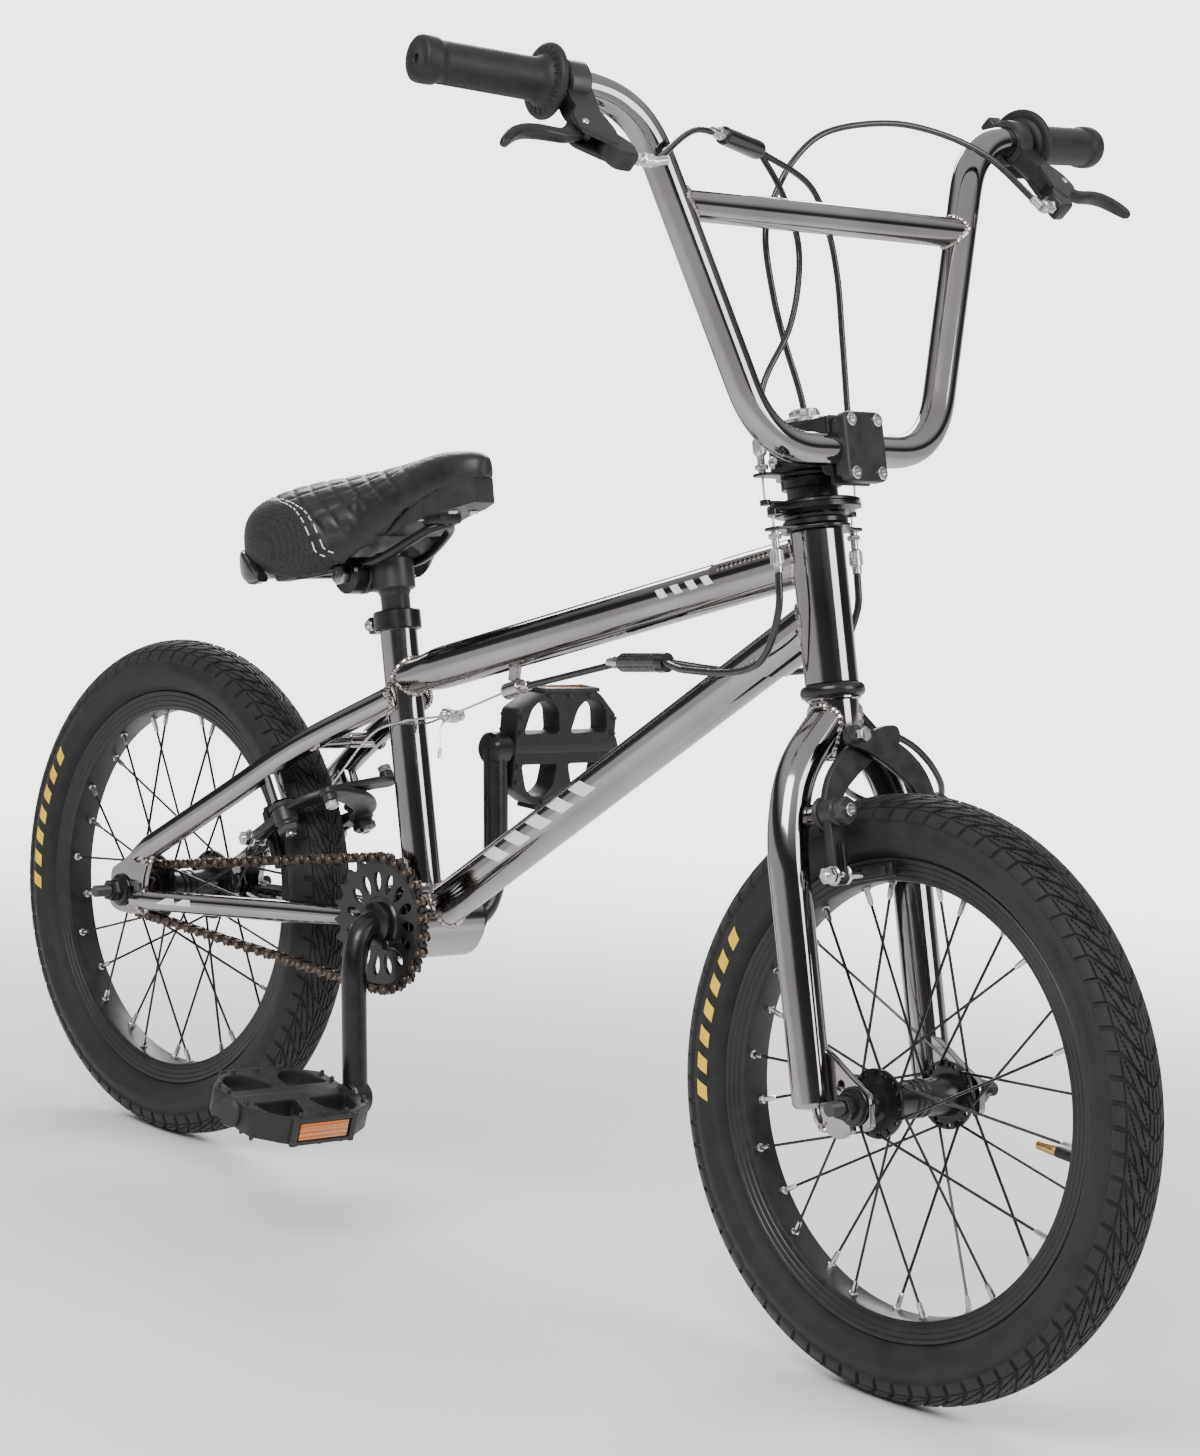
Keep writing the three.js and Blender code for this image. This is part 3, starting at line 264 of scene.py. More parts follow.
def turned(profile, segments=48, place=None):
    """A turned shape about z from (radius, z) pairs; a profile that leaves the axis closes on itself."""
    open_ends = profile[0][0] == 0
    rings = [[Vector((*polar(r, t), z)) for r, z in profile] for t in turns_of(segments)]
    shape = skin(rings, closed_length=True, closed_round=not open_ends)
    return shape if place is None else placed(shape, place)


ACROSS = axes_at(Vector((0, 0, 0)), LEFT, Vector((0, 0, -1)))


def turned_across(profile, segments=48, at=(0, 0, 0)):
    """The same about the y axis: the profile's z becomes y."""
    return placed(turned(profile, segments), Matrix.Translation(Vector(at)) @ ACROSS)


def ring(inner, outer, low, high, soft=0.6, segments=48):
    """A flat ring about z with its outer edges eased."""
    return turned([
        (inner, low), (outer - soft, low), (outer, low + soft), (outer, high - soft), (outer - soft, high),
        (inner, high)], segments)


def slab(outline, thickness, bevel=0.5, holes=()):
    """A flat plate in x-y, centred on z, from an outline and its holes, with eased edges."""
    curve = bpy.data.curves.new("slab", "CURVE")
    curve.dimensions = "2D"
    curve.fill_mode = "BOTH"
    curve.extrude = thickness / 2 - bevel
    curve.bevel_depth = bevel
    curve.bevel_resolution = 1
    curve.offset = -bevel
    for loop in (outline, *holes):
        spline = curve.splines.new("POLY")
        spline.points.add(len(loop) - 1)
        for point, (x, y) in zip(spline.points, loop):
            point.co = (x, y, 0, 1)
        spline.use_cyclic_u = True
    holder = bpy.data.objects.new("slab", curve)
    mesh = bpy.data.meshes.new_from_object(holder)
    shape = Shape()
    shape.points = [v.co.copy() for v in mesh.vertices]
    shape.faces = [tuple(p.vertices) for p in mesh.polygons]
    bpy.data.objects.remove(holder)
    bpy.data.curves.remove(curve)
    bpy.data.meshes.remove(mesh)
    return shape


IN_XZ = Matrix(((1, 0, 0, 0), (0, 0, -1, 0), (0, 1, 0, 0), (0, 0, 0, 1)))
IN_YZ = Matrix(((0, 0, 1, 0), (1, 0, 0, 0), (0, 1, 0, 0), (0, 0, 0, 1)))


def plate_across(outline, y, thickness, bevel=0.5, holes=()):
    """A plate in the x-z plane, centred on y."""
    return shifted(placed(slab(outline, thickness, bevel, holes), IN_XZ), 0, y, 0)


def plate_facing(outline, x, thickness, bevel=0.5, holes=()):
    """A plate in the y-z plane, centred on x."""
    return shifted(placed(slab(outline, thickness, bevel, holes), IN_YZ), x, 0, 0)


def rounded(corners, steps=5):
    """An outline from (x, y, corner radius) triples."""
    outline = []
    for i, (x, y, radius) in enumerate(corners):
        corner = Vector((x, y))
        before = Vector(corners[i - 1][:2])
        after = Vector(corners[(i + 1) % len(corners)][:2])
        into, out = (corner - before), (after - corner)
        reach = min(radius, into.length * 0.48, out.length * 0.48)
        if reach < 0.01:
            outline.append((x, y))
            continue
        start, end = corner - into.normalized() * reach, corner + out.normalized() * reach
        for k in range(steps + 1):
            t = k / steps
            p = start * (1 - t) ** 2 + corner * 2 * t * (1 - t) + end * t * t
            outline.append((p.x, p.y))
    return outline


def circle(x, y, radius, sides=20):
    """A round outline about a point."""
    return [(x + radius * math.cos(t), y + radius * math.sin(t)) for t in turns_of(sides)]


def block(size, centre=(0, 0, 0), bevel=2.0, segments=3):
    """A box with rounded edges."""
    bm = bmesh.new()
    bmesh.ops.create_cube(bm, size=1)
    bmesh.ops.scale(bm, vec=Vector(size), verts=bm.verts)
    bmesh.ops.bevel(bm, geom=bm.edges[:], offset=bevel, segments=segments, profile=0.5, affect="EDGES")
    bmesh.ops.translate(bm, vec=Vector(centre), verts=bm.verts)
    shape = Shape()
    shape.points = [v.co.copy() for v in bm.verts]
    bm.verts.index_update()
    shape.faces = [tuple(v.index for v in f.verts) for f in bm.faces]
    bm.free()
    return shape


def pointing(at, direction):
    """A frame whose z points along a direction."""
    up = Vector(direction).normalized()
    across = LEFT if abs(up.y) < 0.9 else Vector((0, 0, -1))
    return axes_at(Vector(at), up, across)


def hex_nut(at, direction, across_flats, height, hole=0.0):
    """A hexagon nut or bolt head standing on a point."""
    outline = circle(0, 0, across_flats / math.sqrt(3), 6)
    holes = [circle(0, 0, hole, 16)] if hole else []
    nut = shifted(slab(outline, height, 0.5, holes), 0, 0, height / 2)
    return placed(nut, pointing(at, direction))


def socket_screw(at, direction, radius, height):
    """A cap screw with a hexagon socket and a small domed edge."""
    socket = radius * 0.55
    head = turned([(0, height * 0.45), (socket, height * 0.45), (socket, height), (radius * 0.86, height),
                   (radius, height * 0.8), (radius, 0), (0, 0)], 24)
    return placed(head, pointing(at, direction))


def weld(axis_a, radius_a, axis_b, radius_b, near, bead=2.0, ripples=26):
    """The rippled bead where tube a runs into tube b. An axis is a pair of a point and a direction."""
    point_a, along_a = Vector(axis_a[0]), Vector(axis_a[1]).normalized()
    point_b, along_b = Vector(axis_b[0]), Vector(axis_b[1]).normalized()
    n1 = along_a.orthogonal().normalized()
    n2 = along_a.cross(n1)
    path = []
    steps = 96
    for turn in turns_of(steps):
        q = point_a + radius_a * (n1 * math.cos(turn) + n2 * math.sin(turn)) - point_b
        across = along_a - along_b * along_a.dot(along_b)
        offset = q - along_b * q.dot(along_b)
        a, b, c = across.dot(across), 2 * across.dot(offset), offset.dot(offset) - radius_b ** 2
        root = math.sqrt(max(b * b - 4 * a * c, 0))
        found = [point_b + q + along_a * ((-b + sign * root) / (2 * a)) for sign in (-1, 1)]
        path.append(min(found, key=lambda p: (p - Vector(near)).length))
    radii = [bead * (1 + 0.16 * math.sin(ripples * turn)) for turn in turns_of(steps)]
    return tube(path, radii, 8, closed=True)


# ---------- pieces ----------
def make(name, shape, look, body, sharp=32.0, slot=None, replaces=()):
    """One object in metres, riding on a body, smooth-shaded except over edges sharper than sharp degrees."""
    mesh = bpy.data.meshes.new(name)
    mesh.from_pydata([Vector(p) * 0.001 for p in shape.points], [], shape.faces)
    bm = bmesh.new()
    bm.from_mesh(mesh)
    bmesh.ops.recalc_face_normals(bm, faces=bm.faces)
    limit = math.radians(sharp)
    for edge in bm.edges:
        edge.smooth = edge.calc_face_angle(0) < limit
    for face in bm.faces:
        face.smooth = True
    bm.to_mesh(mesh)
    bm.free()
    mesh.materials.append(look)
    piece = bpy.data.objects.new(name, mesh)
    bpy.context.scene.collection.objects.link(piece)
    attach(piece, body)
    slot = slot or SLOTS.get(look)
    if replaces:
        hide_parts(*replaces)
    return piece


def fine(node, shape, look, body, sharp=32.0, slot=None):
    """The fine shape that stands for one CAD node."""
    return make(f"{node}.fine", shape, look, body, sharp, slot, (node,))


# ---------- materials ----------
def new_material(name):
    """An empty node material with its tree and its surface node."""
    material = bpy.data.materials.new(name)
    material.use_nodes = True
    tree = material.node_tree
    return material, tree, tree.nodes["Principled BSDF"]


def node(tree, kind, **inputs):
    """A new node with some of its inputs set."""
    made = tree.nodes.new(kind)
    for key, value in inputs.items():
        made.inputs[key.replace("_", " ")].default_value = value
    return made


def object_noise(tree, scale, detail=4.0, stretch=(1, 1, 1)):
    """Noise fixed to the piece; scale is in repeats a metre."""
    coordinates = tree.nodes.new("ShaderNodeTexCoord")
    mapping = tree.nodes.new("ShaderNodeMapping")
    mapping.inputs["Scale"].default_value = stretch
    texture = node(tree, "ShaderNodeTexNoise", Scale=scale, Detail=detail)
    tree.links.new(coordinates.outputs["Object"], mapping.inputs["Vector"])
    tree.links.new(mapping.outputs["Vector"], texture.inputs["Vector"])
    return texture


def ramp(tree, source, low, high, colours):
    """Blends two colours between two values of the source."""
    made = tree.nodes.new("ShaderNodeValToRGB")
    made.color_ramp.elements[0].position = low
    made.color_ramp.elements[1].position = high
    made.color_ramp.elements[0].color = (*colours[0], 1)
    made.color_ramp.elements[1].color = (*colours[1], 1)
    tree.links.new(source, made.inputs["Fac"])
    return made.outputs["Color"]


def between(tree, source, low, high):
    """Spreads a noise's middle range over a range of values."""
    made = node(tree, "ShaderNodeMapRange", To_Min=low, To_Max=high)
    made.inputs["From Min"].default_value = 0.3
    made.inputs["From Max"].default_value = 0.7
    tree.links.new(source, made.inputs["Value"])
    return made.outputs["Result"]


def bump(tree, bsdf, source, strength, distance, under=None):
    """Adds fine relief to a surface, on top of the relief under it."""
    made = node(tree, "ShaderNodeBump", Strength=strength, Distance=distance)
    tree.links.new(source, made.inputs["Height"])
    if under is not None:
        tree.links.new(under, made.inputs["Normal"])
    tree.links.new(made.outputs["Normal"], bsdf.inputs["Normal"])
    return made.outputs["Normal"]


def finish(name, dark, light, roughness, metallic=0.0, grain=60.0, bumps=(), coat=0.0, sheen=0.0, wear=None,
           gloss=0.5):
    """A finish with mottled colour and roughness, fine bumps, and lighter worn edges if asked for.

    roughness is its lowest and highest value; bumps are (repeats a metre, strength, depth in metres).
    """
    material, tree, bsdf = new_material(name)
    mottle = object_noise(tree, grain)
    colour = ramp(tree, mottle.outputs["Fac"], 0.35, 0.65, (dark, light))
    if wear:
        pointiness = tree.nodes.new("ShaderNodeNewGeometry").outputs["Pointiness"]
        edge = node(tree, "ShaderNodeMapRange")
        edge.inputs["From Min"].default_value = 0.53
        edge.inputs["From Max"].default_value = 0.62
        tree.links.new(pointiness, edge.inputs["Value"])
        mix = tree.nodes.new("ShaderNodeMix")
        mix.data_type = "RGBA"
        mix.inputs["B"].default_value = (*wear, 1)
        tree.links.new(edge.outputs["Result"], mix.inputs["Factor"])
        tree.links.new(colour, mix.inputs["A"])
        colour = mix.outputs["Result"]
    tree.links.new(colour, bsdf.inputs["Base Color"])
    bsdf.inputs["Metallic"].default_value = metallic
    bsdf.inputs["Specular IOR Level"].default_value = gloss
    tree.links.new(between(tree, mottle.outputs["Fac"], *roughness), bsdf.inputs["Roughness"])
    bsdf.inputs["Coat Weight"].default_value = coat
    bsdf.inputs["Coat Roughness"].default_value = 0.12
    bsdf.inputs["Sheen Weight"].default_value = sheen
    under = None
    for scale, strength, depth in bumps:
        under = bump(tree, bsdf, object_noise(tree, scale).outputs["Fac"], strength, depth, under)
    return material


CHROME = finish("smoked_chrome", (0.27, 0.256, 0.25), (0.36, 0.342, 0.334), (0.06, 0.13), 1.0, 9,
                ((14, 0.10, 0.002), (260, 0.04, 0.0002)))
WELD = finish("welded_chrome", (0.34, 0.31, 0.30), (0.52, 0.49, 0.47), (0.14, 0.3), 1.0, 90,
              ((420, 0.3, 0.0004),))
STEEL = finish("zinc_steel", (0.50, 0.50, 0.51), (0.68, 0.68, 0.70), (0.18, 0.34), 1.0, 140,
               ((900, 0.15, 0.0002),))
BLACK = finish("black_enamel", (0.006, 0.006, 0.0065), (0.011, 0.011, 0.012), (0.24, 0.36), 0.0, 70,
               ((700, 0.06, 0.0002),), coat=0.25, gloss=0.3)
SATIN = finish("satin_black_alloy", (0.008, 0.008, 0.0085), (0.015, 0.015, 0.016), (0.32, 0.46), 0.0, 90,
               ((1100, 0.12, 0.0002),), wear=(0.04, 0.04, 0.042), gloss=0.38)
RUBBER = finish("tyre_rubber", (0.009, 0.0088, 0.009), (0.019, 0.018, 0.0185), (0.55, 0.75), 0.0, 55,
                ((1600, 0.25, 0.0003), (240, 0.12, 0.0004)), sheen=0.05, wear=(0.04, 0.038, 0.038),
                gloss=0.32)
GRIP = finish("grip_rubber", (0.007, 0.0068, 0.007), (0.014, 0.0135, 0.014), (0.45, 0.6), 0.0, 120,
              ((1500, 0.2, 0.0002),), sheen=0.04, gloss=0.35)
JACKET = finish("cable_jacket", (0.008, 0.008, 0.009), (0.014, 0.014, 0.015), (0.2, 0.3), 0.0, 200,
                ((600, 0.05, 0.0002),), coat=0.3)
BRONZE = finish("oiled_chain", (0.034, 0.024, 0.019), (0.085, 0.062, 0.048), (0.28, 0.46), 0.85, 260,
                ((1200, 0.2, 0.0002),), wear=(0.2, 0.155, 0.125))
SPOKE = finish("black_spoke", (0.010, 0.010, 0.011), (0.024, 0.024, 0.025), (0.22, 0.34), 0.5, 160,
               ((900, 0.05, 0.0001),))
MOULDED = finish("moulded_plastic", (0.008, 0.008, 0.0085), (0.014, 0.014, 0.015), (0.42, 0.58), 0.0, 140,
                 ((1300, 0.3, 0.0002),), wear=(0.035, 0.035, 0.036), gloss=0.35)
GREY = finish("grey_plastic", (0.014, 0.0135, 0.015), (0.024, 0.023, 0.025), (0.38, 0.5), 0.0, 110,
              ((1200, 0.25, 0.0002),), gloss=0.4)
GLOSSY = finish("glossy_plastic", (0.012, 0.012, 0.013), (0.020, 0.020, 0.021), (0.16, 0.26), 0.0, 80,
                ((300, 0.05, 0.0003),), coat=0.4)
BRASS = finish("brass", (0.45, 0.28, 0.09), (0.62, 0.42, 0.16), (0.22, 0.38), 1.0, 260,
               ((800, 0.2, 0.0002),))
WHITE = finish("white_print", (0.72, 0.72, 0.73), (0.84, 0.84, 0.85), (0.3, 0.42), 0.0, 120,
               ((800, 0.1, 0.0001),))
YELLOW = finish("yellow_print", (0.74, 0.46, 0.01), (0.86, 0.58, 0.03), (0.45, 0.6), 0.0, 200,
                ((1200, 0.3, 0.0002),))


def amber_lens():
    """Moulded amber plastic with a diamond grid of small prisms, each painted lighter at its middle (painted
    highlight) and darker toward its edges (painted shade in the grooves).
    """
    material, tree, bsdf = new_material("amber_lens")
    coordinates = tree.nodes.new("ShaderNodeTexCoord")
    mapping = tree.nodes.new("ShaderNodeMapping")
    mapping.inputs["Rotation"].default_value = (0, math.radians(45), 0)
    tree.links.new(coordinates.outputs["Object"], mapping.inputs["Vector"])
    prisms = node(tree, "ShaderNodeTexVoronoi", Scale=420.0, Randomness=0.0)
    tree.links.new(mapping.outputs["Vector"], prisms.inputs["Vector"])
    # Painted light: the bright orange at each prism's middle is a painted highlight, and the dark red-brown
    # toward its edges is painted shade in the grooves between prisms.
    colour = ramp(tree, prisms.outputs["Distance"], 0.1, 0.6, ((1.0, 0.36, 0.03), (0.42, 0.09, 0.01)))
    tree.links.new(colour, bsdf.inputs["Base Color"])
    bsdf.inputs["Roughness"].default_value = 0.16
    bsdf.inputs["Coat Weight"].default_value = 0.5
    bump(tree, bsdf, prisms.outputs["Distance"], 0.6, 0.0006)
    return material


AMBER = amber_lens()
# The colour slot name listed for each finish; a piece that differs passes its own. The name is worked out for
# each piece but not stored on it.
SLOTS = {
    CHROME: "frame_chrome",
    WELD: "frame_chrome",
    STEEL: "bright_steel",
    BLACK: "black_paint",
    SATIN: "black_paint",
    RUBBER: "tyre_rubber",
    GRIP: "grip_rubber",
    JACKET: "cable_jacket",
    BRONZE: "chain_bronze",
    SPOKE: "spoke_black",
    MOULDED: "pedal_plastic",
    GLOSSY: "pedal_plastic",
    GREY: "grey_plastic",
    BRASS: "brass",
    WHITE: "white_mark",
    AMBER: "amber_reflector",
}


# ---------- wheels ----------
TREAD_PITCHES = 76
TREAD_STEPS = 16
TREAD_DEPTH = 2.1
# Spokes on each side of a wheel, and how far their holes lie inside the flange's edge.
SPOKES = 14
SPOKE_HOLE_INSET = 3


def tread_shift(a):
    """How far a block row runs ahead, in pitches, at an angle a from the crown."""
    if a < 13:
        return 0.02 * a
    if a < 48:
        return 0.26 + (a - 13) * 0.035
    return 1.485 + (a - 48) * 0.006


def tread_height(u, a):
    """0 in a groove and 1 on a block; u is the place in the pitch and a the angle from the crown."""
    if a > 73:
        return 0.0
    across = min(u, 1 - u) * 2
    high = 1.0 if across > 0.13 else 0.0
    for groove, half in ((3.6, 0.9), (12.5, 0.9)):
        if abs(a - groove) < half:
            high = 0.0
    if 12.5 < a < 50:
        diagonal = (u - (a - 13) / 17.5) % 1.0
        if min(diagonal, 1 - diagonal) < 0.07:
            high = 0.0
    if 50 <= a < 51.6:
        high *= 0.5
    return high if a < 70 else high * (73 - a) / 3


def tyre_shape():
    """The tyre's open section, with raised tread blocks, ribbed shoulders and beads."""
    count = TREAD_PITCHES * TREAD_STEPS
    crown = TYRE_R - TYRE_HALF
    angles = [-74 + 148 * k / 74 for k in range(75)]
    sides = [76, 82, 90, 98, 106, 114, 121, 127]
    outer = [-a for a in reversed(sides)] + angles + sides
    inner = [120, 95, 60, 20, -20, -60, -95, -120]
    rows = []
    turns = 2 * np.pi * np.arange(count) / count
    for angle in outer:
        a = abs(angle)
        low = TYRE_HALF - TREAD_DEPTH if a < 75 else TYRE_HALF - TREAD_DEPTH * max(0.0, (90 - a) / 15)
        if a in (98, 121):
            low += 0.5
        heights = np.array([tread_height(i / TREAD_STEPS, a) for i in range(TREAD_STEPS)])
        radius = low + TREAD_DEPTH * np.tile(heights, TREAD_PITCHES)
        around = turns + 2 * np.pi * tread_shift(min(a, 73)) / TREAD_PITCHES
        out = crown + radius * math.cos(math.radians(angle))
        y = radius * math.sin(math.radians(angle))
        rows.append(np.stack([out * np.cos(around), y, out * np.sin(around)], 1))
    beads = [(158.2, 12.5), (153.6, 12.2), (153.6, 8.2)]
    last_turn = turns + 2 * np.pi * tread_shift(73) / TREAD_PITCHES
    lining = [(crown + 19.5 * math.cos(math.radians(b)), 19.5 * math.sin(math.radians(b))) for b in inner]
    for r, y in beads + lining + [(r, -y) for r, y in reversed(beads)]:
        rows.append(np.stack([r * np.cos(last_turn), np.full(count, y), r * np.sin(last_turn)], 1))
    shape = Shape()
    shape.points = [tuple(p) for row in rows for p in row]
    for j in range(len(rows)):
        a, b = j * count, ((j + 1) % len(rows)) * count
        shape.faces.extend((a + i, a + (i + 1) % count, b + (i + 1) % count, b + i) for i in range(count))
    return shape


def sidewall_flashes(side, start):
    """Seven slanted yellow flashes on the sidewall, in place of any name."""
    shape = Shape()
    for k in range(7):
        rings = []
        for j in range(7):
            a = math.radians(91 + 3.1 * j)
            lift = TYRE_HALF + 0.2 + 0.5 * max(0.0, 1 - abs(math.degrees(a) - 98) / 8)
            out, y = TYRE_R - TYRE_HALF + lift * math.cos(a), lift * math.sin(a)
            middle = math.radians(start + 6.2 * k + 0.3 * j)
            row = []
            for turn in (middle, middle + math.radians(1.7), middle + math.radians(3.4)):
                row.append(Vector((out * math.cos(turn), side * y, out * math.sin(turn))))
            rings.append(row)
        shape.add(skin(rings, closed_round=False, capped=False))
    return shape


def rim_shape():
    """The rim's section: rounded inside, stepped sidewalls with brake grooves, and a well for the tyre."""
    half = [(RIM_INNER_R, 0), (RIM_INNER_R, 9.5), (143.1, 11.2), (144.6, 12.1), (146.4, 12.5)]
    half += [(147.0, 12.2), (147.7, 12.8), (150.2, 13.3), (150.8, 13.0), (151.5, 13.6), (154.0, 14.0)]
    half += [(154.6, 13.7), (155.3, 14.3), (157.4, 14.6), (158.0, 14.2), (158.0, 13.1), (152.0, 12.8),
             (146.0, 9.0)]
    profile = half + [(r, -y) for r, y in reversed(half[1:])]
    return turned_across(profile, 144)


def hub_shape(flange_r, right_y, left_y, right_end, left_end):
    """A turned shell with two drilled flanges, ribs on the barrel and dust caps."""
    def flange(y):
        holes = [circle(*polar(flange_r - SPOKE_HOLE_INSET, t), 1.4, 8) for t in turns_of(SPOKES)]
        return plate_across(circle(0, 0, flange_r, 56), y, 3, 0.6, holes + [circle(0, 0, 8, 24)])

    def end(tip, y, side):
        """The dust cap, cone and shoulder of one end, from its tip inward."""
        return [(5.2, tip), (8.4, tip), (9, tip - side), (9, y + side * 5), (12, y + side * 4),
                (14, y - side * 2),
                (14, y - side * 5), (12.6, y - side * 9)]

    profile = end(right_end, right_y, -1) + [(11.8, 0)] + end(left_end, left_y, 1)[::-1]
    barrel = turned_across(profile, 40)
    ribs = [turned_across([(12, y - 1), (13, y - 0.4), (13, y + 0.4), (12, y + 1)], 40) for y in (-6, 0, 6)]
    return gathered(barrel, flange(right_y), flange(left_y), *ribs)


def spoke_ends(flange_r, flange_y, side, index):
    """Where a spoke leaves its flange and meets the rim, and whether it leaves on the flange's inner face."""
    step = 2 * math.pi / SPOKES
    at_rim = step * index + (step / 2 if side > 0 else 0)
    at_hub = at_rim + (1 if index % 2 == 0 else -1) * step * 1.9
    inside = -1 if index % 2 == 0 else 1
    hub_x, hub_z = polar(flange_r - SPOKE_HOLE_INSET, at_hub)
    rim_x, rim_z = polar(RIM_INNER_R, at_rim)
    hub = Vector((hub_x, side * (abs(flange_y) + 2.2 * inside), hub_z))
    rim = Vector((rim_x, side * 4.5, rim_z))
    return hub, rim, inside


def spoke_shapes(flange_r, flange_y, side):
    """The wires of one side with their elbows and heads, and their nipples."""
    wires, nipples = Shape(), Shape()
    for index in range(SPOKES):
        hub, rim, inside = spoke_ends(flange_r, flange_y, side, index)
        through = Vector((0, -side * 4.4 * inside, 0))
        path = bent_path([hub + through, hub, rim], 2.0, 4)
        wires.add(tube(path, 1.0, 8))
        wires.add(rod(hub + through, hub + through * 1.25, 1.9, 8))
        along = (hub - rim).normalized()
        places = [rim + along * d for d in (-1, 1.5, 2, 10, 12)]
        nipples.add(tube(places, [3.0, 3.0, 2.0, 1.9, 1.2], 8))
    return wires, nipples


def valve_shapes(turn):
    """The valve's rubber stem and brass cap, pointing at the hub."""
    def along(*radii):
        return [(r * math.cos(turn), 0, r * math.sin(turn)) for r in radii]

    stem = tube(along(144, 140, 124), [5.5, 3.9, 3.7], 20)
    cap = tube(along(124, 123.4, 116, 114.6, 108, 107.4), [3.1, 3.4, 3.4, 3.1, 2.9, 2.3], 20)
    return stem, cap


def wheel(end, centre, flange_r, right_y, left_y, right_end, left_end, valve_turn, mark_turn):
    """All the pieces that turn with one wheel."""
    body = f"{end}_wheel"
    at = Matrix.Translation(centre)
    fine(f"{end}_tyre", placed(tyre_shape(), at), RUBBER, body, 28)
    marks = gathered(sidewall_flashes(-1, mark_turn), sidewall_flashes(1, mark_turn + 150))
    make(f"{end}_tyre_flashes", placed(marks, at), YELLOW, body)
    fine(f"{end}_rim", placed(rim_shape(), at), SATIN, body, 24, "rim_black")
    fine(f"{end}_hub", placed(hub_shape(flange_r, right_y, left_y, right_end, left_end), at), BLACK, body)
    nipples = Shape()
    for name, y, side in (("right", right_y, -1), ("left", left_y, 1)):
        wires, side_nipples = spoke_shapes(flange_r, y, side)
        nipples.add(side_nipples)
        fine(f"{end}_spokes_{name}", placed(wires, at), SPOKE, body)
    make(f"{end}_nipples", placed(nipples, at), STEEL, body)
    stem, cap = valve_shapes(valve_turn)
    make(f"{end}_valve_stem", placed(stem, at), GRIP, body)
    make(f"{end}_valve_cap", placed(cap, at), BRASS, body)


def axle(end, centre, inner_y, tip, body):
    """A threaded axle with lock nuts inside the dropouts, washers and flanged nuts outside."""
    thread, nuts = Shape(), Shape()
    pitch = 1.2
    for side in (-1, 1):
        for k in range(int((tip - inner_y) / pitch)):
            y = side * (inner_y + pitch * k)
            crest, end_y = y + side * pitch / 2, y + side * pitch
            thread.add(turned_across([(0, y), (4.3, y), (4.8, crest), (4.3, end_y), (0, end_y)], 18))
        out = Vector((0, side, 0))
        face = Vector((0, side * (inner_y + 6.3), 0))
        nuts.add(placed(ring(5, 13, 0, 1.6, 0.4), pointing(face, out)))
        flange = turned([(5, 1.6), (11.8, 1.6), (11.4, 3.4), (9.8, 4.2), (5, 4.2)], 40)
        nuts.add(placed(flange, pointing(face, out)))
        nuts.add(hex_nut(face + out * 3.4, out, 15, 9.4, 5))
        nuts.add(hex_nut(Vector((0, side * (inner_y - 5.6), 0)), out, 15, 4.6))
    thread.add(cross_rod(0, 0, -inner_y, inner_y, 4.6))
    place = Matrix.Translation(centre)
    fine(f"{end}_axle", placed(thread, place), SATIN, body)
    make(f"{end}_axle_nuts", placed(nuts, place), BLACK, body)


def wheels():
    """Both wheels and their axles."""
    wheel("rear", REAR_AXLE, 28, -28, 30, -36, 49.5, math.radians(20), 148)
    wheel("front", FRONT_AXLE, 23, -34, 34, -44.5, 44.5, math.radians(-3), 150)
    axle("rear", REAR_AXLE, 55, 88, "frame")
    axle("front", FRONT_AXLE, 50, 80, "steering")


# ---------- frame ----------
HEAD_AXIS = (front_point(0, 0, 0), STEER_UP)
SEAT_AXIS = (BB, SEAT_UP)
BB_AXIS = (BB, LEFT)
TOP_FRONT, TOP_REAR = front_point(0, 0, 362.5), seat_point(182)
DOWN_FRONT = front_point(0, 0, 323.5)
TOP_AXIS = (TOP_REAR, TOP_FRONT - TOP_REAR)
DOWN_AXIS = (BB, DOWN_FRONT - BB)


def stay_paths(side):
    """Centre lines of one side's chainstay and seatstay."""
    chain = [REAR_AXLE + Vector((20, side * 59, -4)), BB + Vector((-12, side * 21, -1))]
    seat = smooth_path([
        REAR_AXLE + Vector((20, side * DROPOUT_Y, 33)), REAR_AXLE + Vector((112, side * 46, 95)),
        REAR_AXLE + Vector((176, side * 33, 141)), seat_point(168, side * 13)], 10)
    return chain, seat


def dropout_plate(side):
    """The rear dropout: its slot opens backward round the axle, its two arms reach to the stays."""
    slot = [(-16, 5.2, 1), (0, 5.2, 4), (5.2, 0, 4), (0, -5.2, 4), (-16, -5.2, 1)]
    outline = rounded([
        (-16, 15, 6), *slot, (-15, -14, 5), (-4, -18, 6), (22, -16, 6), (32, -8, 5), (26, 8, 8), (32, 32, 5),
        (20, 42, 5), (2, 26, 8)])
    outline = [(REAR_AXLE.x + x, REAR_AXLE.z + z) for x, z in outline]
    return plate_across(outline, side * DROPOUT_Y, 6, 0.8)


def chainstay(side):
    """A chainstay that thickens forward, pinched beside the tyre, with its dropout."""
    start, end = stay_paths(side)[0]
    steps = 24
    path, radii = [], []
    for k in range(steps + 1):
        t = k / steps
        path.append(start.lerp(end, t))
        pinch = math.exp(-((t - 0.80) / 0.07) ** 2)
        radii.append((8 + 1.5 * t) * (1 - 0.10 * pinch) * (0.72 if k == 0 else 1))
    path[0] = path[0] - (end - start).normalized() * 5
    return gathered(tube(path, radii, 28), dropout_plate(side))


def seatstay(side):
    """A seatstay with its half of the bridge and its brake boss."""
    path = stay_paths(side)[1]
    radii = [STAY_R] * len(path)
    radii[0] = STAY_R * 0.72
    path[0] = path[0] - (path[1] - path[0]).normalized() * 5
    bridge = cross_rod(BRIDGE.x, BRIDGE.z, side * 34, side * 0.2, 6.5)
    boss = [STAY_BRAKE @ Vector((u, side * 37, BRAKE_W)) for u in (-14, 13, 27)]
    return gathered(tube(path, radii, 28), bridge, rod(boss[0], boss[1], 7), rod(boss[1], boss[2], 4.2))


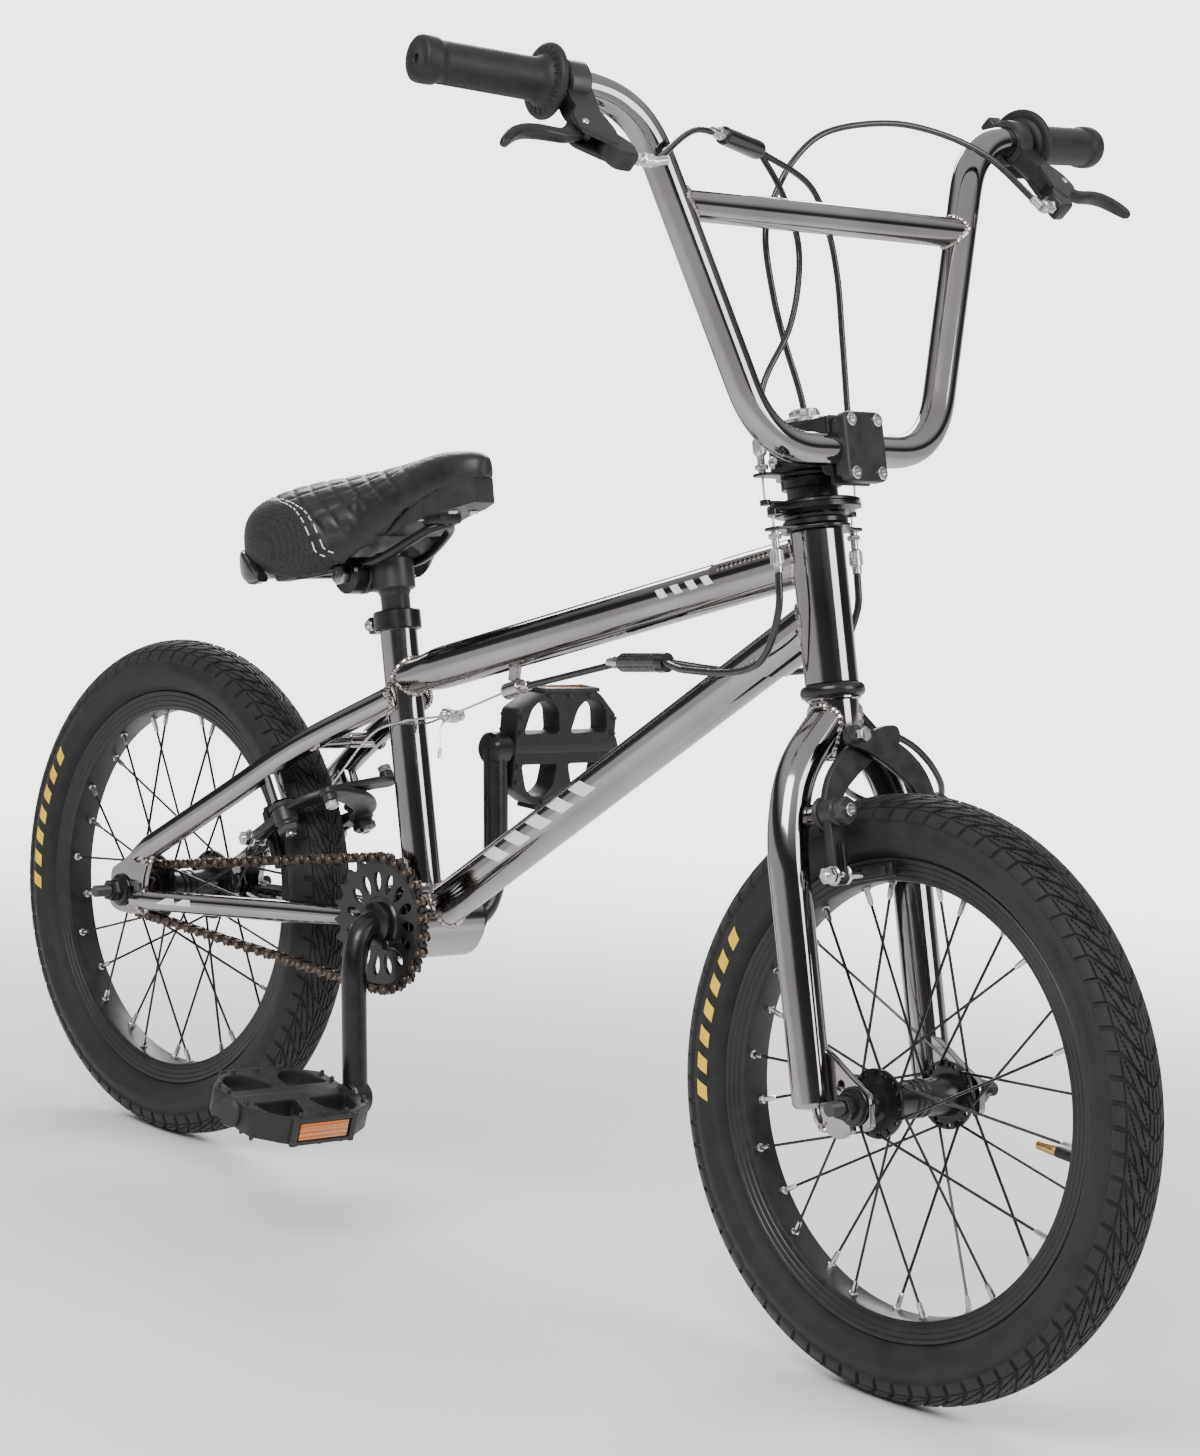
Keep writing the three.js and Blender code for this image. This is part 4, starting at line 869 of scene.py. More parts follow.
def top_tube():
    """The top tube: narrow where it meets the seat tube, swelling to the main tubes' size."""
    ahead = (TOP_FRONT - TOP_REAR).normalized()
    path = [TOP_REAR, TOP_REAR + ahead * 17]
    radii = [TOP_TUBE_REAR_R, TOP_TUBE_REAR_R]
    for k in range(8):
        share = 0.5 - 0.5 * math.cos(math.pi * (k + 1) / 8)
        path.append(TOP_REAR + ahead * (22 + 4 * k))
        radii.append(TOP_TUBE_REAR_R + (MAIN_R - TOP_TUBE_REAR_R) * share)
    return tube(path + [TOP_FRONT], radii + [MAIN_R], 48)


def frame_tubes():
    """The frame's tubes, each a piece of its own."""
    half_head = [(HEAD_BORE, HEAD_LOW), (HEAD_R - 0.6, HEAD_LOW), (HEAD_R, HEAD_LOW + 0.8)]
    head = turned(half_head + [(r, HEAD_LOW + HEAD_TOP - z) for r, z in half_head[::-1]], 64, FRONT)
    fine("head_tube", head, CHROME, "frame")
    fine("top_tube", top_tube(), CHROME, "frame")
    fine("down_tube", rod(BB, DOWN_FRONT, MAIN_R, 48), CHROME, "frame")
    seat_profile = [(SEAT_TUBE_BORE, 60), (SEAT_TUBE_R, 0), (SEAT_TUBE_R, SEAT_TUBE_LENGTH),
                    (SEAT_TUBE_BORE, SEAT_TUBE_LENGTH)]
    fine("seat_tube", turned(seat_profile, 48, axes_at(BB, SEAT_UP)), CHROME, "frame")
    half_shell = [(BB_R - 2.4, -BB_HALF), (BB_R - 0.6, -BB_HALF), (BB_R, 0.6 - BB_HALF)]
    shell = turned_across(half_shell + [(r, -y) for r, y in half_shell[::-1]], 56, BB)
    fine("bottom_bracket_shell", shell, CHROME, "frame")
    for name, side in (("right", -1), ("left", 1)):
        fine(f"chainstay_{name}", chainstay(side), CHROME, "frame")
        fine(f"seatstay_{name}", seatstay(side), CHROME, "frame")


def frame_welds():
    """The beads where the frame's tubes, stays, dropouts and bridge are joined."""
    beads = gathered(
        weld(TOP_AXIS, MAIN_R, HEAD_AXIS, HEAD_R, TOP_REAR.lerp(TOP_FRONT, 0.95)),
        weld(DOWN_AXIS, MAIN_R, HEAD_AXIS, HEAD_R, BB.lerp(DOWN_FRONT, 0.95)),
        weld(TOP_AXIS, TOP_TUBE_REAR_R + 0.1, SEAT_AXIS, SEAT_TUBE_R, TOP_REAR.lerp(TOP_FRONT, 0.06)),
        weld(DOWN_AXIS, MAIN_R, BB_AXIS, BB_R, BB.lerp(DOWN_FRONT, 0.08)),
        weld(SEAT_AXIS, SEAT_TUBE_R, BB_AXIS, BB_R, seat_point(28)))
    for side in (-1, 1):
        chain, seat = stay_paths(side)
        before_shell = chain[1] + Vector((-18, 0, 0))
        beads.add(weld((chain[0], chain[1] - chain[0]), STAY_R, BB_AXIS, BB_R, before_shell, 1.8, 18))
        beads.add(weld((seat[-2], seat[-1] - seat[-2]), STAY_R, SEAT_AXIS, SEAT_TUBE_R, seat[-2], 1.8, 18))
        for x, z in ((28, -4), (30, 36)):
            lumps = [REAR_AXLE + Vector((x + 5 * math.cos(t), side * (DROPOUT_Y + 2 + 2 * math.sin(2 * t)),
                                         z + 9 * math.sin(t))) for t in turns_of(40)]
            beads.add(tube(lumps, [2.0 + 0.5 * math.sin(k * 1.9) for k in range(40)], 8, closed=True))
        bridge_end = [BRIDGE + Vector((7 * math.cos(t), side * 33, 7 * math.sin(t))) for t in turns_of(36)]
        beads.add(tube(bridge_end, 1.6, 8, closed=True))
    make("frame_welds", beads, WELD, "frame")


def gusset(start, end, facing, reach, spread, arch):
    """A plate laid round the end of a tube by the head, its rear edge cut to an arch."""
    along = (end - start).normalized()
    out = (Vector(facing) - along * Vector(facing).dot(along)).normalized()
    round_way = along.cross(out)
    length = (end - start).length
    rings = []
    for k in range(33):
        share = 2 * k / 32 - 1
        a = math.radians(spread * share)
        way = out * math.cos(a) + round_way * math.sin(a)
        rear = length - reach + arch * (1 - share * share)
        front = length - 15
        section = [(rear, -0.4), (rear, 1.1), (rear + 0.6, 1.6), (front, 1.6), (front, -0.4)]
        rings.append([start + along * x + way * (MAIN_R + rise) for x, rise in section])
    return skin(rings)


def head_gussets():
    """The two plates that strengthen the head joints, with their weld stitches and pressed marks."""
    under = gusset(BB, DOWN_FRONT, (0, 0, -1), 84, 80, 30)
    over = gusset(TOP_REAR, TOP_FRONT, (0, 0, 1), 92, 52, 10)
    make("head_gussets", gathered(under, over), CHROME, "frame")
    stitched = Shape()
    top_way = (TOP_FRONT - TOP_REAR).normalized()
    above = LEFT.cross(top_way) * -1
    down_way = (DOWN_FRONT - BB).normalized()
    beneath = LEFT.cross(down_way)
    for side in (-1, 1):
        turn = math.radians(58)
        way = above * math.cos(turn) + LEFT * side * math.sin(turn)
        for k in range(14):
            at = TOP_FRONT - top_way * (24 + 4.4 * k) + way * (MAIN_R + 0.2)
            stitched.add(rod(at - top_way * 0.9, at + top_way * 0.9 + way * 0.5, 0.9, 8))
        turn = math.radians(82)
        way = beneath * math.cos(turn) + LEFT * side * math.sin(turn)
        for k in range(7):
            at = DOWN_FRONT - down_way * (60 + 3.2 * k) + way * (MAIN_R + 0.6)
            stitched.add(rod(at - way, at + way * 1.2, 1.5, 8))
    make("gusset_welds", stitched, WELD, "frame")


def cable_stop():
    """The braze-on under the top tube that holds the rear cable's end."""
    leg = rod(REAR_STOP + Vector((-6, 0, 26)), REAR_STOP + Vector((-7, 0, 4)), 4.5, 16)
    cup = rod(REAR_STOP + Vector((2, 0, 1)), REAR_STOP + Vector((-14, 0, -5)), 6.2, 24)
    make("top_tube_stop", gathered(leg, cup), WELD, "frame")


def wrapped(start, end, radius, patches, middle, facing):
    """Marks laid on a tube. A patch has two opposite edges, each a pair of (along, degrees round) corners."""
    along = (end - start).normalized()
    out = (Vector(facing) - along * Vector(facing).dot(along)).normalized()
    round_way = along.cross(out)
    shape = Shape()
    steps = 8
    for low, high in patches:
        rings = []
        for k in range(steps + 1):
            t = k / steps
            row = []
            for s in (0, 0.25, 0.5, 0.75, 1):
                corner = Vector(low[0]).lerp(low[1], s).lerp(Vector(high[0]).lerp(high[1], s), t)
                a = math.radians(corner.y)
                way = out * math.cos(a) + round_way * math.sin(a)
                row.append(start + along * (middle + corner.x) + way * (radius + 0.12))
            rings.append(row)
        shape.add(skin(rings, closed_round=False, capped=False))
    return shape


def frame_marks():
    """White lightning flashes on the chainstays and slanted bars on the main tubes, in place of names."""
    flash = [([(0, 26), (22, 26)], [(12, -8), (20, -8)]), ([(20, 26), (40, 26)], [(30, -8), (38, -8)])]
    marks = Shape()
    for side in (-1, 1):
        start, end = stay_paths(side)[0]
        stay_r = 8.2 + 1.5 * 45 / (end - start).length
        marks.add(wrapped(start, end, stay_r, flash, 28, (0, side, 0.25)))
        bars = [([(26 * k, 24), (26 * k + 14, 24)], [(26 * k - 14, -24), (26 * k, -24)]) for k in range(5)]
        marks.add(wrapped(BB, DOWN_FRONT, MAIN_R, bars, 110, (0, side, 0.1)))
        dashes = [([(15 * k, 13), (15 * k + 8, 13)], [(15 * k - 6, -13), (15 * k + 2, -13)])
                  for k in range(4)]
        marks.add(wrapped(TOP_REAR, TOP_FRONT, MAIN_R, dashes, 300, (0, side, 0.25)))
    make("frame_marks", marks, WHITE, "frame")


def headset():
    """The two cups of the steering's bearings."""
    lower = [(15.4, 268), (19.4, 268), (20.9, 269), (21.7, 270.6), (21.9, 272.4), (21.6, 274.2),
             (20.8, 275.7),
             (19.4, 276.7), (15.4, 276.7)]
    upper = [(15.4, 382.7), (20.6, 382.7), (22, 384.2), (22, 387), (20.4, 388.4), (20.8, 390), (15.4, 390)]
    fine("headset_cup_lower", turned(lower, 64, FRONT), BLACK, "frame")
    fine("headset_cup_upper", turned(upper, 64, FRONT), BLACK, "frame")


# The cable rotor: how far its wires stand from the middle, and how far back.
GYRO_LOW_Y, GYRO_HIGH_Y = 38, 44
GYRO_X = -2


def gyro_plate_shape(z, ear_y):
    """A thin ring with a rounded ear each side, cranked round the head tube."""
    ear = [(8, 24, 6), (4, ear_y + 5, 4), (-8, ear_y + 5, 4), (-9, 24, 6)]
    other_ear = [(x, -y, radius) for x, y, radius in ear[::-1]]
    points = rounded([*ear, (-25, 8, 12), (-25, -8, 12), *other_ear, (25, -8, 12), (25, 8, 12)])
    return shifted(slab(points, 2, 0.4, [circle(0, 0, 15.6, 40)]), 0, 0, z)


def adjuster(at, direction, length=28):
    """A knurled barrel adjuster with its lock nut."""
    place = pointing(at, direction)
    profile = [(0, 0), (2.6, 0), (2.6, 0.4), (3.4, 0.42), (4.2, 0.46), (4.2, 0.8), (3.2, 0.84), (3.2, 1),
               (0, 1)]
    shape = turned([(r, share * length) for r, share in profile], 20, place)
    for turn in turns_of(10):
        x, y = polar(4.1, turn)
        shape.add(placed(rod((x, y, length * 0.48), (x, y, length * 0.78), 0.7, 6), place))
    shape.add(hex_nut(Vector(at) + Vector(direction).normalized() * 2.2, direction, 8, 3.2))
    return shape


def gyro():
    """The cable rotor between its two plates, with the adjusters and bare wires on them."""
    fine("gyro_lower_plate", placed(gyro_plate_shape(381.4, GYRO_LOW_Y), FRONT), BLACK, "frame")
    fine("gyro_upper_plate", placed(gyro_plate_shape(417.2, GYRO_HIGH_Y), FRONT), BLACK, "steering")
    low, high = Shape(), Shape()
    wires, upper_wires = Shape(), Shape()
    for side in (-1, 1):
        low_y, high_y = side * GYRO_LOW_Y, side * GYRO_HIGH_Y
        low.add(adjuster((GYRO_X, low_y, 380), (0, 0, -1)))
        high.add(adjuster((GYRO_X, high_y, 418.4), (0, 0, 1)))
        wires.add(rod((GYRO_X, low_y, 377), (GYRO_X, low_y, 392), 0.8, 8))
        upper_wires.add(rod((GYRO_X, high_y, 401), (GYRO_X, high_y, 421), 0.8, 8))
    make("gyro_lower_adjusters", placed(low, FRONT), STEEL, "frame")
    make("gyro_upper_adjusters", placed(high, FRONT), STEEL, "steering")
    make("gyro_wires", placed(wires, FRONT), STEEL, "gyro")
    make("gyro_upper_wires", placed(upper_wires, FRONT), STEEL, "steering")
    body = turned([(18, 391), (26, 391), (27.6, 392), (31.4, 393.4), (31.5, 395), (30, 395.6), (30, 396.6),
                   (31.5, 397.2), (31.4, 398.8), (28, 400), (18, 400)], 64)
    ears = Shape()
    for z, ear_y in ((392.4, GYRO_LOW_Y), (398.6, GYRO_HIGH_Y)):
        for side in (-1, 1):
            ears.add(block((10, ear_y - 23.6, 1.8), (GYRO_X, side * (ear_y + 20.4) / 2, z), 0.6, 2))
            # The eye's bore lets the wire pass when the rotor rises along it.
            eye = turned([(1.3, z - 1.8), (3.6, z - 1.8), (3.6, z + 1.8), (1.3, z + 1.8)], 16)
            ears.add(shifted(eye, GYRO_X, side * ear_y, 0))
    fine("gyro_bearing", placed(gathered(body, ears), FRONT), BLACK, "gyro")


def frame_cables():
    """The lower gyro cables, their joiner under the top tube and the run to the stop."""
    joiner_in, joiner_out = Vector((136, 0, 452)), Vector((90, 0, 446))
    jacket = Shape()
    for side in (-1, 1):
        start = front_point(GYRO_X, side * GYRO_LOW_Y, 352)
        route = [start, start + Vector((3, 0, -25)), (start.x - 14, side * 34, 468), (176, side * 20, 452),
                 joiner_in + Vector((0, side * 3, 0))]
        jacket.add(tube(smooth_path(route, 12), CABLE_R, 16))
    jacket.add(rod(joiner_out, REAR_STOP, CABLE_R, 16))
    along = (joiner_in - joiner_out).normalized()
    body = [joiner_out, joiner_out + along * 2, joiner_in - along * 8, joiner_in - along * 7, joiner_in]
    jacket.add(tube(body, [5.8, 6.8, 6.8, 7.4, 7.0], 24))
    fine("rear_cable_housing", jacket, JACKET, "frame")
    ferrule = [(0, 0), (3.6, 0), (4.4, 1), (4.4, 7), (3.4, 9), (3.4, 13), (0, 13)]
    ends = gathered(turned(ferrule, 20, pointing(joiner_out, -along)),
                    rod(REAR_STOP + Vector((10, 0, 3.2)), REAR_STOP, 3.6, 16))
    make("rear_cable_ends", ends, STEEL, "frame")


def straddle():
    """The bare wire from the stop to the hanger, and the straddle wire round the seat tube."""
    start, hanger = Vector((-28.6, 0, 409)), Vector((-88, 0, 383))
    wire = rod(start, hanger, 0.9, 10)
    for side in (-1, 1):
        route = [hanger, (-122, side * 15, 374), (-150, side * 20, 362),
                 STAY_BRAKE @ Vector((24, side * 31, 246))]
        wire.add(tube(smooth_path(route, 8), 0.9, 10))
    tail = smooth_path([hanger, hanger + Vector((-4, -6, -10)), hanger + Vector((2, -9, -24))], 6)
    wire.add(tube(tail, 0.8, 8))
    body = gathered(
        block((13, 9, 10), hanger, 2.0),
        cross_rod(hanger.x, hanger.z, -9, 8, 3.4, 16),
        hex_nut(hanger + Vector((0, 7, 0)), (0, 1, 0), 8, 4),
        rod(tail[-1], tail[-1] + Vector((1, -1.5, -7)), 1.4, 10))
    fine("rear_straddle_wire", gathered(wire, body), STEEL, "frame")


def seat_collar():
    """The collar round the seat tube's top with its ear and socket bolt."""
    place = axes_at(seat_point(219), SEAT_UP)
    collar = ring(SEAT_TUBE_R + 0.3, 18, 0, 15, 1.0)
    ear = block((14, 12, 13), (-22, 0, 7.5), 2.0)
    fine("seat_clamp", placed(gathered(collar, ear), place), BLACK, "frame")
    bolt = socket_screw((-23, -6, 7.5), (0, -1, 0), 4.4, 4.6)
    bolt.add(hex_nut((-23, 6, 7.5), (0, 1, 0), 7.5, 3.4))
    make("seat_collar_bolt", placed(bolt, place), STEEL, "frame")


# ---------- chain and toothed wheels ----------
CHAIN_Y = -44
RING_TEETH, COG_TEETH, LINKS = 24, 9, 64
CHAIN_PITCH = 12.86


def pitch_radius(teeth):
    """The radius of the circle on which the chain's pins lie."""
    return CHAIN_PITCH / 2 / math.sin(math.pi / teeth)


RING_R, COG_R = pitch_radius(RING_TEETH), pitch_radius(COG_TEETH)


def chain_pins():
    """The middle of each pin round the loop, and the first pin's angle on each toothed wheel."""
    between_centres = BB - REAR_AXLE
    slope = math.atan2(between_centres.z, between_centres.x)
    spread = math.acos((RING_R - COG_R) / between_centres.length)
    run = math.sqrt(between_centres.length ** 2 - (RING_R - COG_R) ** 2)

    def on(centre, radius, turn):
        return Vector((centre.x + radius * math.cos(turn), CHAIN_Y, centre.z + radius * math.sin(turn)))

    ring_from, ring_to = slope - math.pi + spread, slope + math.pi - spread
    cog_from, cog_to = slope + math.pi - spread, slope + math.pi + spread
    ring_wrap, cog_wrap = ring_to - ring_from, cog_to - cog_from
    # Each leg's length in links, and the place at a share of it.
    legs = [
        (ring_wrap * RING_TEETH / (2 * math.pi), lambda t: on(BB, RING_R, ring_from + ring_wrap * t)),
        (run / CHAIN_PITCH, lambda t: on(BB, RING_R, ring_to).lerp(on(REAR_AXLE, COG_R, cog_from), t)),
        (cog_wrap * COG_TEETH / (2 * math.pi), lambda t: on(REAR_AXLE, COG_R, cog_from + cog_wrap * t)),
        (run / CHAIN_PITCH, lambda t: on(REAR_AXLE, COG_R, cog_to).lerp(on(BB, RING_R, ring_from), t)),
    ]
    whole = sum(leg[0] for leg in legs)
    pins = []
    cog_angle = None
    for k in range(LINKS):
        place = whole * k / LINKS
        for index, (size, at) in enumerate(legs):
            if place <= size:
                pin = at(place / size)
                if index == 2 and cog_angle is None:
                    cog_angle = math.atan2(pin.z - REAR_AXLE.z, pin.x - REAR_AXLE.x)
                pins.append(pin)
                break
            place -= size
    return pins, ring_from, cog_angle


PINS, RING_ANGLE, COG_ANGLE = chain_pins()


def link_plate(length):
    """The waisted outline of a chain link's side plate."""
    outline = []
    for way in (1, -1):
        for k in range(9):
            x, z = polar(4.1, math.radians(-70 + 140 * k / 8))
            outline.append((way * (length / 2 + x), way * z))
        outline.append((0, -3.0))
    return outline


def chain():
    """Inner and outer links in turn, their rollers, and the pins as a piece of their own."""
    inner_plate, outer_plate, pins = Shape(), Shape(), Shape()
    template = placed(slab(link_plate(CHAIN_PITCH), 1.1, 0.25), IN_XZ)
    for k, pin in enumerate(PINS):
        ahead = PINS[(k + 1) % LINKS]
        along = (ahead - pin).normalized()
        down = LEFT.cross(along)
        middle = (pin + ahead) / 2
        place = Matrix((
            (along.x, 0, down.x, middle.x),
            (along.y, 1, down.y, middle.y),
            (along.z, 0, down.z, middle.z),
            (0, 0, 0, 1)))
        gap = 1.95 if k % 2 else 3.15
        target = inner_plate if k % 2 else outer_plate
        for side in (-1, 1):
            target.add(template, place @ Matrix.Translation((0, side * gap, 0)))
        inner_plate.add(cross_rod(pin.x, pin.z, CHAIN_Y - 1.5, CHAIN_Y + 1.5, 3.6, 14, 0.3))
        pins.add(cross_rod(pin.x, pin.z, CHAIN_Y - 4.1, CHAIN_Y + 4.1, 1.7, 10, 0.4))
    fine("chain", gathered(inner_plate, outer_plate), BRONZE, "frame")
    make("chain_pins", pins, BRONZE, "frame")


def toothed_outline(teeth, radius, first_gap, roller=4.0):
    """Round-bottomed gaps at the pins, with pointed teeth between them."""
    outline = []
    step = 2 * math.pi / teeth
    for k in range(teeth):
        gap = first_gap + step * k
        for share in (-0.26, -0.17, -0.08, 0.0, 0.08, 0.17, 0.26):
            depth = roller * math.sqrt(max(0.0, 1 - (share / 0.28) ** 2))
            outline.append(polar(radius + 1.4 - depth, gap + share * step))
        for share, rise in ((0.38, 2.6), (0.46, 4.0), (0.54, 4.0), (0.62, 2.6)):
            outline.append(polar(radius + rise, gap + share * step))
    return outline


def chainring():
    """The toothed ring with fifteen petal windows, its hub and the pin that the crank drives it by."""
    holes = []
    for start in turns_of(15):
        turn = start + 0.1
        petal = []
        for t in turns_of(14):
            wide = 3.6 if math.cos(t) > 0 else 3.6 - 1.6 * abs(math.cos(t))
            r, side = 31 + 7.6 * math.cos(t), wide * math.sin(t)
            (x, y), (side_y, side_x) = polar(r, turn), polar(side, turn)
            petal.append((x - side_x, y + side_y))
        holes.append(petal)
    holes.append(circle(0, 0, 12, 32))
    outline = toothed_outline(RING_TEETH, RING_R, RING_ANGLE)
    plate = plate_across(outline, CHAIN_Y, 3.0, 0.5, holes)
    hub = turned_across([(12, -3), (19, -3), (20.5, -1.6), (20.5, 1.6), (12, 1.6)], 40, (0, CHAIN_Y, 0))
    fine("chainring", shifted(gathered(plate, hub), BB.x, 0, BB.z), BLACK, "crankset", 40)
    drive_pin = cross_rod(BB.x + 16, BB.z - 13, CHAIN_Y - 9, CHAIN_Y, 4.2, 20)
    make("drive_pin", drive_pin, BLACK, "crankset")


def freewheel():
    """The small toothed wheel at the rear, with its body."""
    outline = toothed_outline(COG_TEETH, COG_R, COG_ANGLE)
    plate = plate_across(outline, CHAIN_Y, 3.0, 0.5, [circle(0, 0, 9.6, 24)])
    body = turned_across([(9.6, -4.6), (12, -4.6), (13, -3.6), (13, 6), (9.6, 7)], 36, (0, CHAIN_Y, 0))
    fine("freewheel", shifted(gathered(plate, body), REAR_AXLE.x, 0, REAR_AXLE.z), BRONZE, "freewheel", 40)


# ---------- crank and pedals ----------
def crank():
    """Both arms, the spindle, the eyes that hold the pedals and the bearings' caps."""
    arm_y = 71
    right = bent_path([(0, -8, 0), (0, -62, 0), (0, -arm_y, -26), (0, -arm_y, -CRANK_LENGTH)], 15, 8)
    left = bent_path([(0, 8, 0), (0, 56, 0), (0, arm_y - 1, 30), (0, arm_y, CRANK_LENGTH)], 15, 8)
    shape = Shape()
    for path in (right, left):
        shape.add(tube(path, [9.4] * len(path), 28))
    shape.add(cross_rod(0, 0, -52, 52, 11, 32))
    for side in (-1, 1):
        shape.add(cross_rod(0, side * CRANK_LENGTH, side * 62.5, side * 80, 12.6, 36, 2.2))
        cap = [(11, 35), (22, 35), (24, 36.4), (24, 38), (20, 40), (11, 41)]
        shape.add(turned_across([(r, side * y) for r, y in cap], 40))
    shape.add(turned_across([(9, -47), (15, -47), (16, -48), (16, -51), (12, -53.5), (9, -54)], 36))
    fine("crank", placed(shape, CRANK), BLACK, "crankset")


def stud(x, y, z, up):
    """One of the pins that a shoe grips on."""
    return rod((x, y, z - up * 1.0), (x, y, z + up * 3.0), 1.9, 8, end_radius=1.5, bevel=0.4)


PEDAL_INNER_Y, PEDAL_OUTER_Y = 10, 114
PEDAL_HALF = 45
REFLECTOR_X = 45.4


def pedal_shape():
    """The left platform about its spindle: caged frame, barrel, cross webs and studs."""
    y0, y1, half, thick = PEDAL_INNER_Y, PEDAL_OUTER_Y, PEDAL_HALF, 20
    outline = rounded([
        (-half + 15, y0, 4), (half - 15, y0, 4), (half, y0 + 26, 8), (half, y1 - 22, 8), (half - 20, y1, 5),
        (-half + 20, y1, 5), (-half, y1 - 22, 8), (-half, y0 + 26, 8)])
    windows = []
    for sign in (-1, 1):
        for low, high in ((y0 + 9, y0 + 45), (y0 + 57, y1 - 9)):
            corners = [(12, low, 3), (31, low + 6, 4), (37, low + 14, 3), (37, high - 12, 3),
                       (30, high - 3, 4),
                       (12, high, 3)]
            corners = [(sign * x, y, radius) for x, y, radius in corners]
            windows.append(rounded(corners if sign > 0 else corners[::-1], 4))
    shape = slab(outline, thick, 1.4, windows)
    shape.add(cross_rod(0, 0, y0 - 0.5, y1 + 0.5, 10.5, 32, 1.5))
    shape.add(cross_rod(0, 0, y1 - 2, y1 + 3.6, 11.5, 32, 2.2))
    for sign in (-1, 1):
        for up in (-1, 1):
            z = up * thick / 2
            for y in (y0 + 32, y0 + 52, y1 - 30):
                shape.add(stud(sign * 41, y, z, up))
            for x in (13, 25):
                shape.add(stud(sign * x, y0 + 3.6, z, up))
                shape.add(stud(sign * (x - 2), y1 - 3.6, z, up))
        for y in (y0 + 27.5, y1 - 23.5):
            shape.add(block((3.4, 5, thick + 1.6), (sign * REFLECTOR_X, y, 0), 0.8, 2))
        for z in (-8.6, 8.6):
            shape.add(block((3.0, 52, 3.2), (sign * REFLECTOR_X, (y0 + y1) / 2 + 2, z), 0.8, 2))
    return shape


def pedals():
    """Both pedals on their spindles, with amber reflectors front and back; each hangs at its own tilt."""
    for name, side, tilt in (("right", -1, -10), ("left", 1, 90)):
        turn = Matrix.Rotation(math.radians(-tilt), 4, "Y")
        place = Matrix.Translation(PEDAL_PLACES[name]) @ turn
        lens = Shape()
        for sign in (-1, 1):
            middle_y = (PEDAL_INNER_Y + PEDAL_OUTER_Y) / 2 + 2
            lens.add(block((1.8, 44, 12.6), (sign * REFLECTOR_X, middle_y, 0), 0.5, 2))
        shape = pedal_shape()
        spindle = gathered(cross_rod(0, 0, 8.2, 9.9, 8.5, 6), cross_rod(0, 0, -9, 16, 6.2),
                           cross_rod(0, 0, 16, 112, 4.8))
        if side < 0:
            shape, spindle, lens = mirrored(shape), mirrored(spindle), mirrored(lens)
        fine(f"pedal_{name}", placed(shape, place), MOULDED, f"pedal_{name}")
        make(f"pedal_{name}_reflectors", placed(lens, place), AMBER, f"pedal_{name}")
        fine(f"pedal_spindle_{name}", placed(spindle, place), SATIN, "crankset")


# ---------- fork and cockpit ----------
# The left half of the bar: its corner in the clamp, its upper bend and its tip, in the steering's axes.
BAR_BASE = Vector((38, 80, 428))
BAR_TOP = Vector((33, 162, 651.5))
BAR_TIP = Vector((7.5, 320, 667))
# How far up the side the crossbar meets it.
CROSS_SHARE = 0.7
GRIP_WAY = (BAR_TIP - BAR_TOP).normalized()


def fork():
    """The steerer and crown, both bent legs, dropouts and brake bosses, with their welds."""
    leg_y, leg_r, crown_r = 58.5, 13.5, 16.6
    path = bent_path([(0, -4, 256), (0, -44, 221), (0, -leg_y, 176), (0, -leg_y, 4)], 22, 10)
    path += [Vector((0, -leg_y, 1)), Vector((0, -leg_y, -0.5))]
    radii = [leg_r] * (len(path) - 2) + [leg_r * 0.8, leg_r * 0.35]
    leg = tube(path, radii, 40)
    slot = [(28.8, -17, 2), (28.8, 0, 3), (FORK_OFFSET, 6, 4), (39.2, 0, 3), (39.2, -17, 2)]
    outline = rounded([(2, 46, 8), (2, -12, 3), (16, -22, 6), *slot, (46, -15, 5), (49, 6, 7), (36, 16, 8),
                       (18, 34, 12)])
    dropout = plate_across(outline, -53, 6, 0.8, [circle(24, 14, 3.2, 16)])
    boss_y = -FRONT_PIVOT_Y
    boss = gathered(rod((8, boss_y, BRAKE_W), (22.5, boss_y, BRAKE_W), 7),
                    rod((20, boss_y, BRAKE_W), (34, boss_y, BRAKE_W), 4.2))
    side = gathered(leg, dropout, boss)
    crown = turned([(9, 227), (15.4, 227), (crown_r, 229), (crown_r, 265.4), (18.6, 266.6), (18.6, 267.7),
                    (14.3, 267.7), (14.3, 452), (9, 452)], 56)
    fine("fork", placed(gathered(crown, side, mirrored(side)), FRONT), CHROME, "steering")
    beads = Shape()
    for sign in (-1, 1):
        shoulder = ((0, sign * 44, 221), (0, -sign * 40, 35))
        beads.add(weld(shoulder, leg_r, ((0, 0, 0), (0, 0, 1)), crown_r, (0, sign * 17, 245)))
        edge = [(5 + 6 * math.cos(t), sign * (55.5 - 2.4 * math.cos(t)), 16 + 30 * math.sin(t))
                for t in turns_of(48)]
        beads.add(tube(edge, [2.0 + 0.4 * math.sin(k * 2.1) for k in range(48)], 8, closed=True))
    make("fork_welds", placed(beads, FRONT), WELD, "steering")


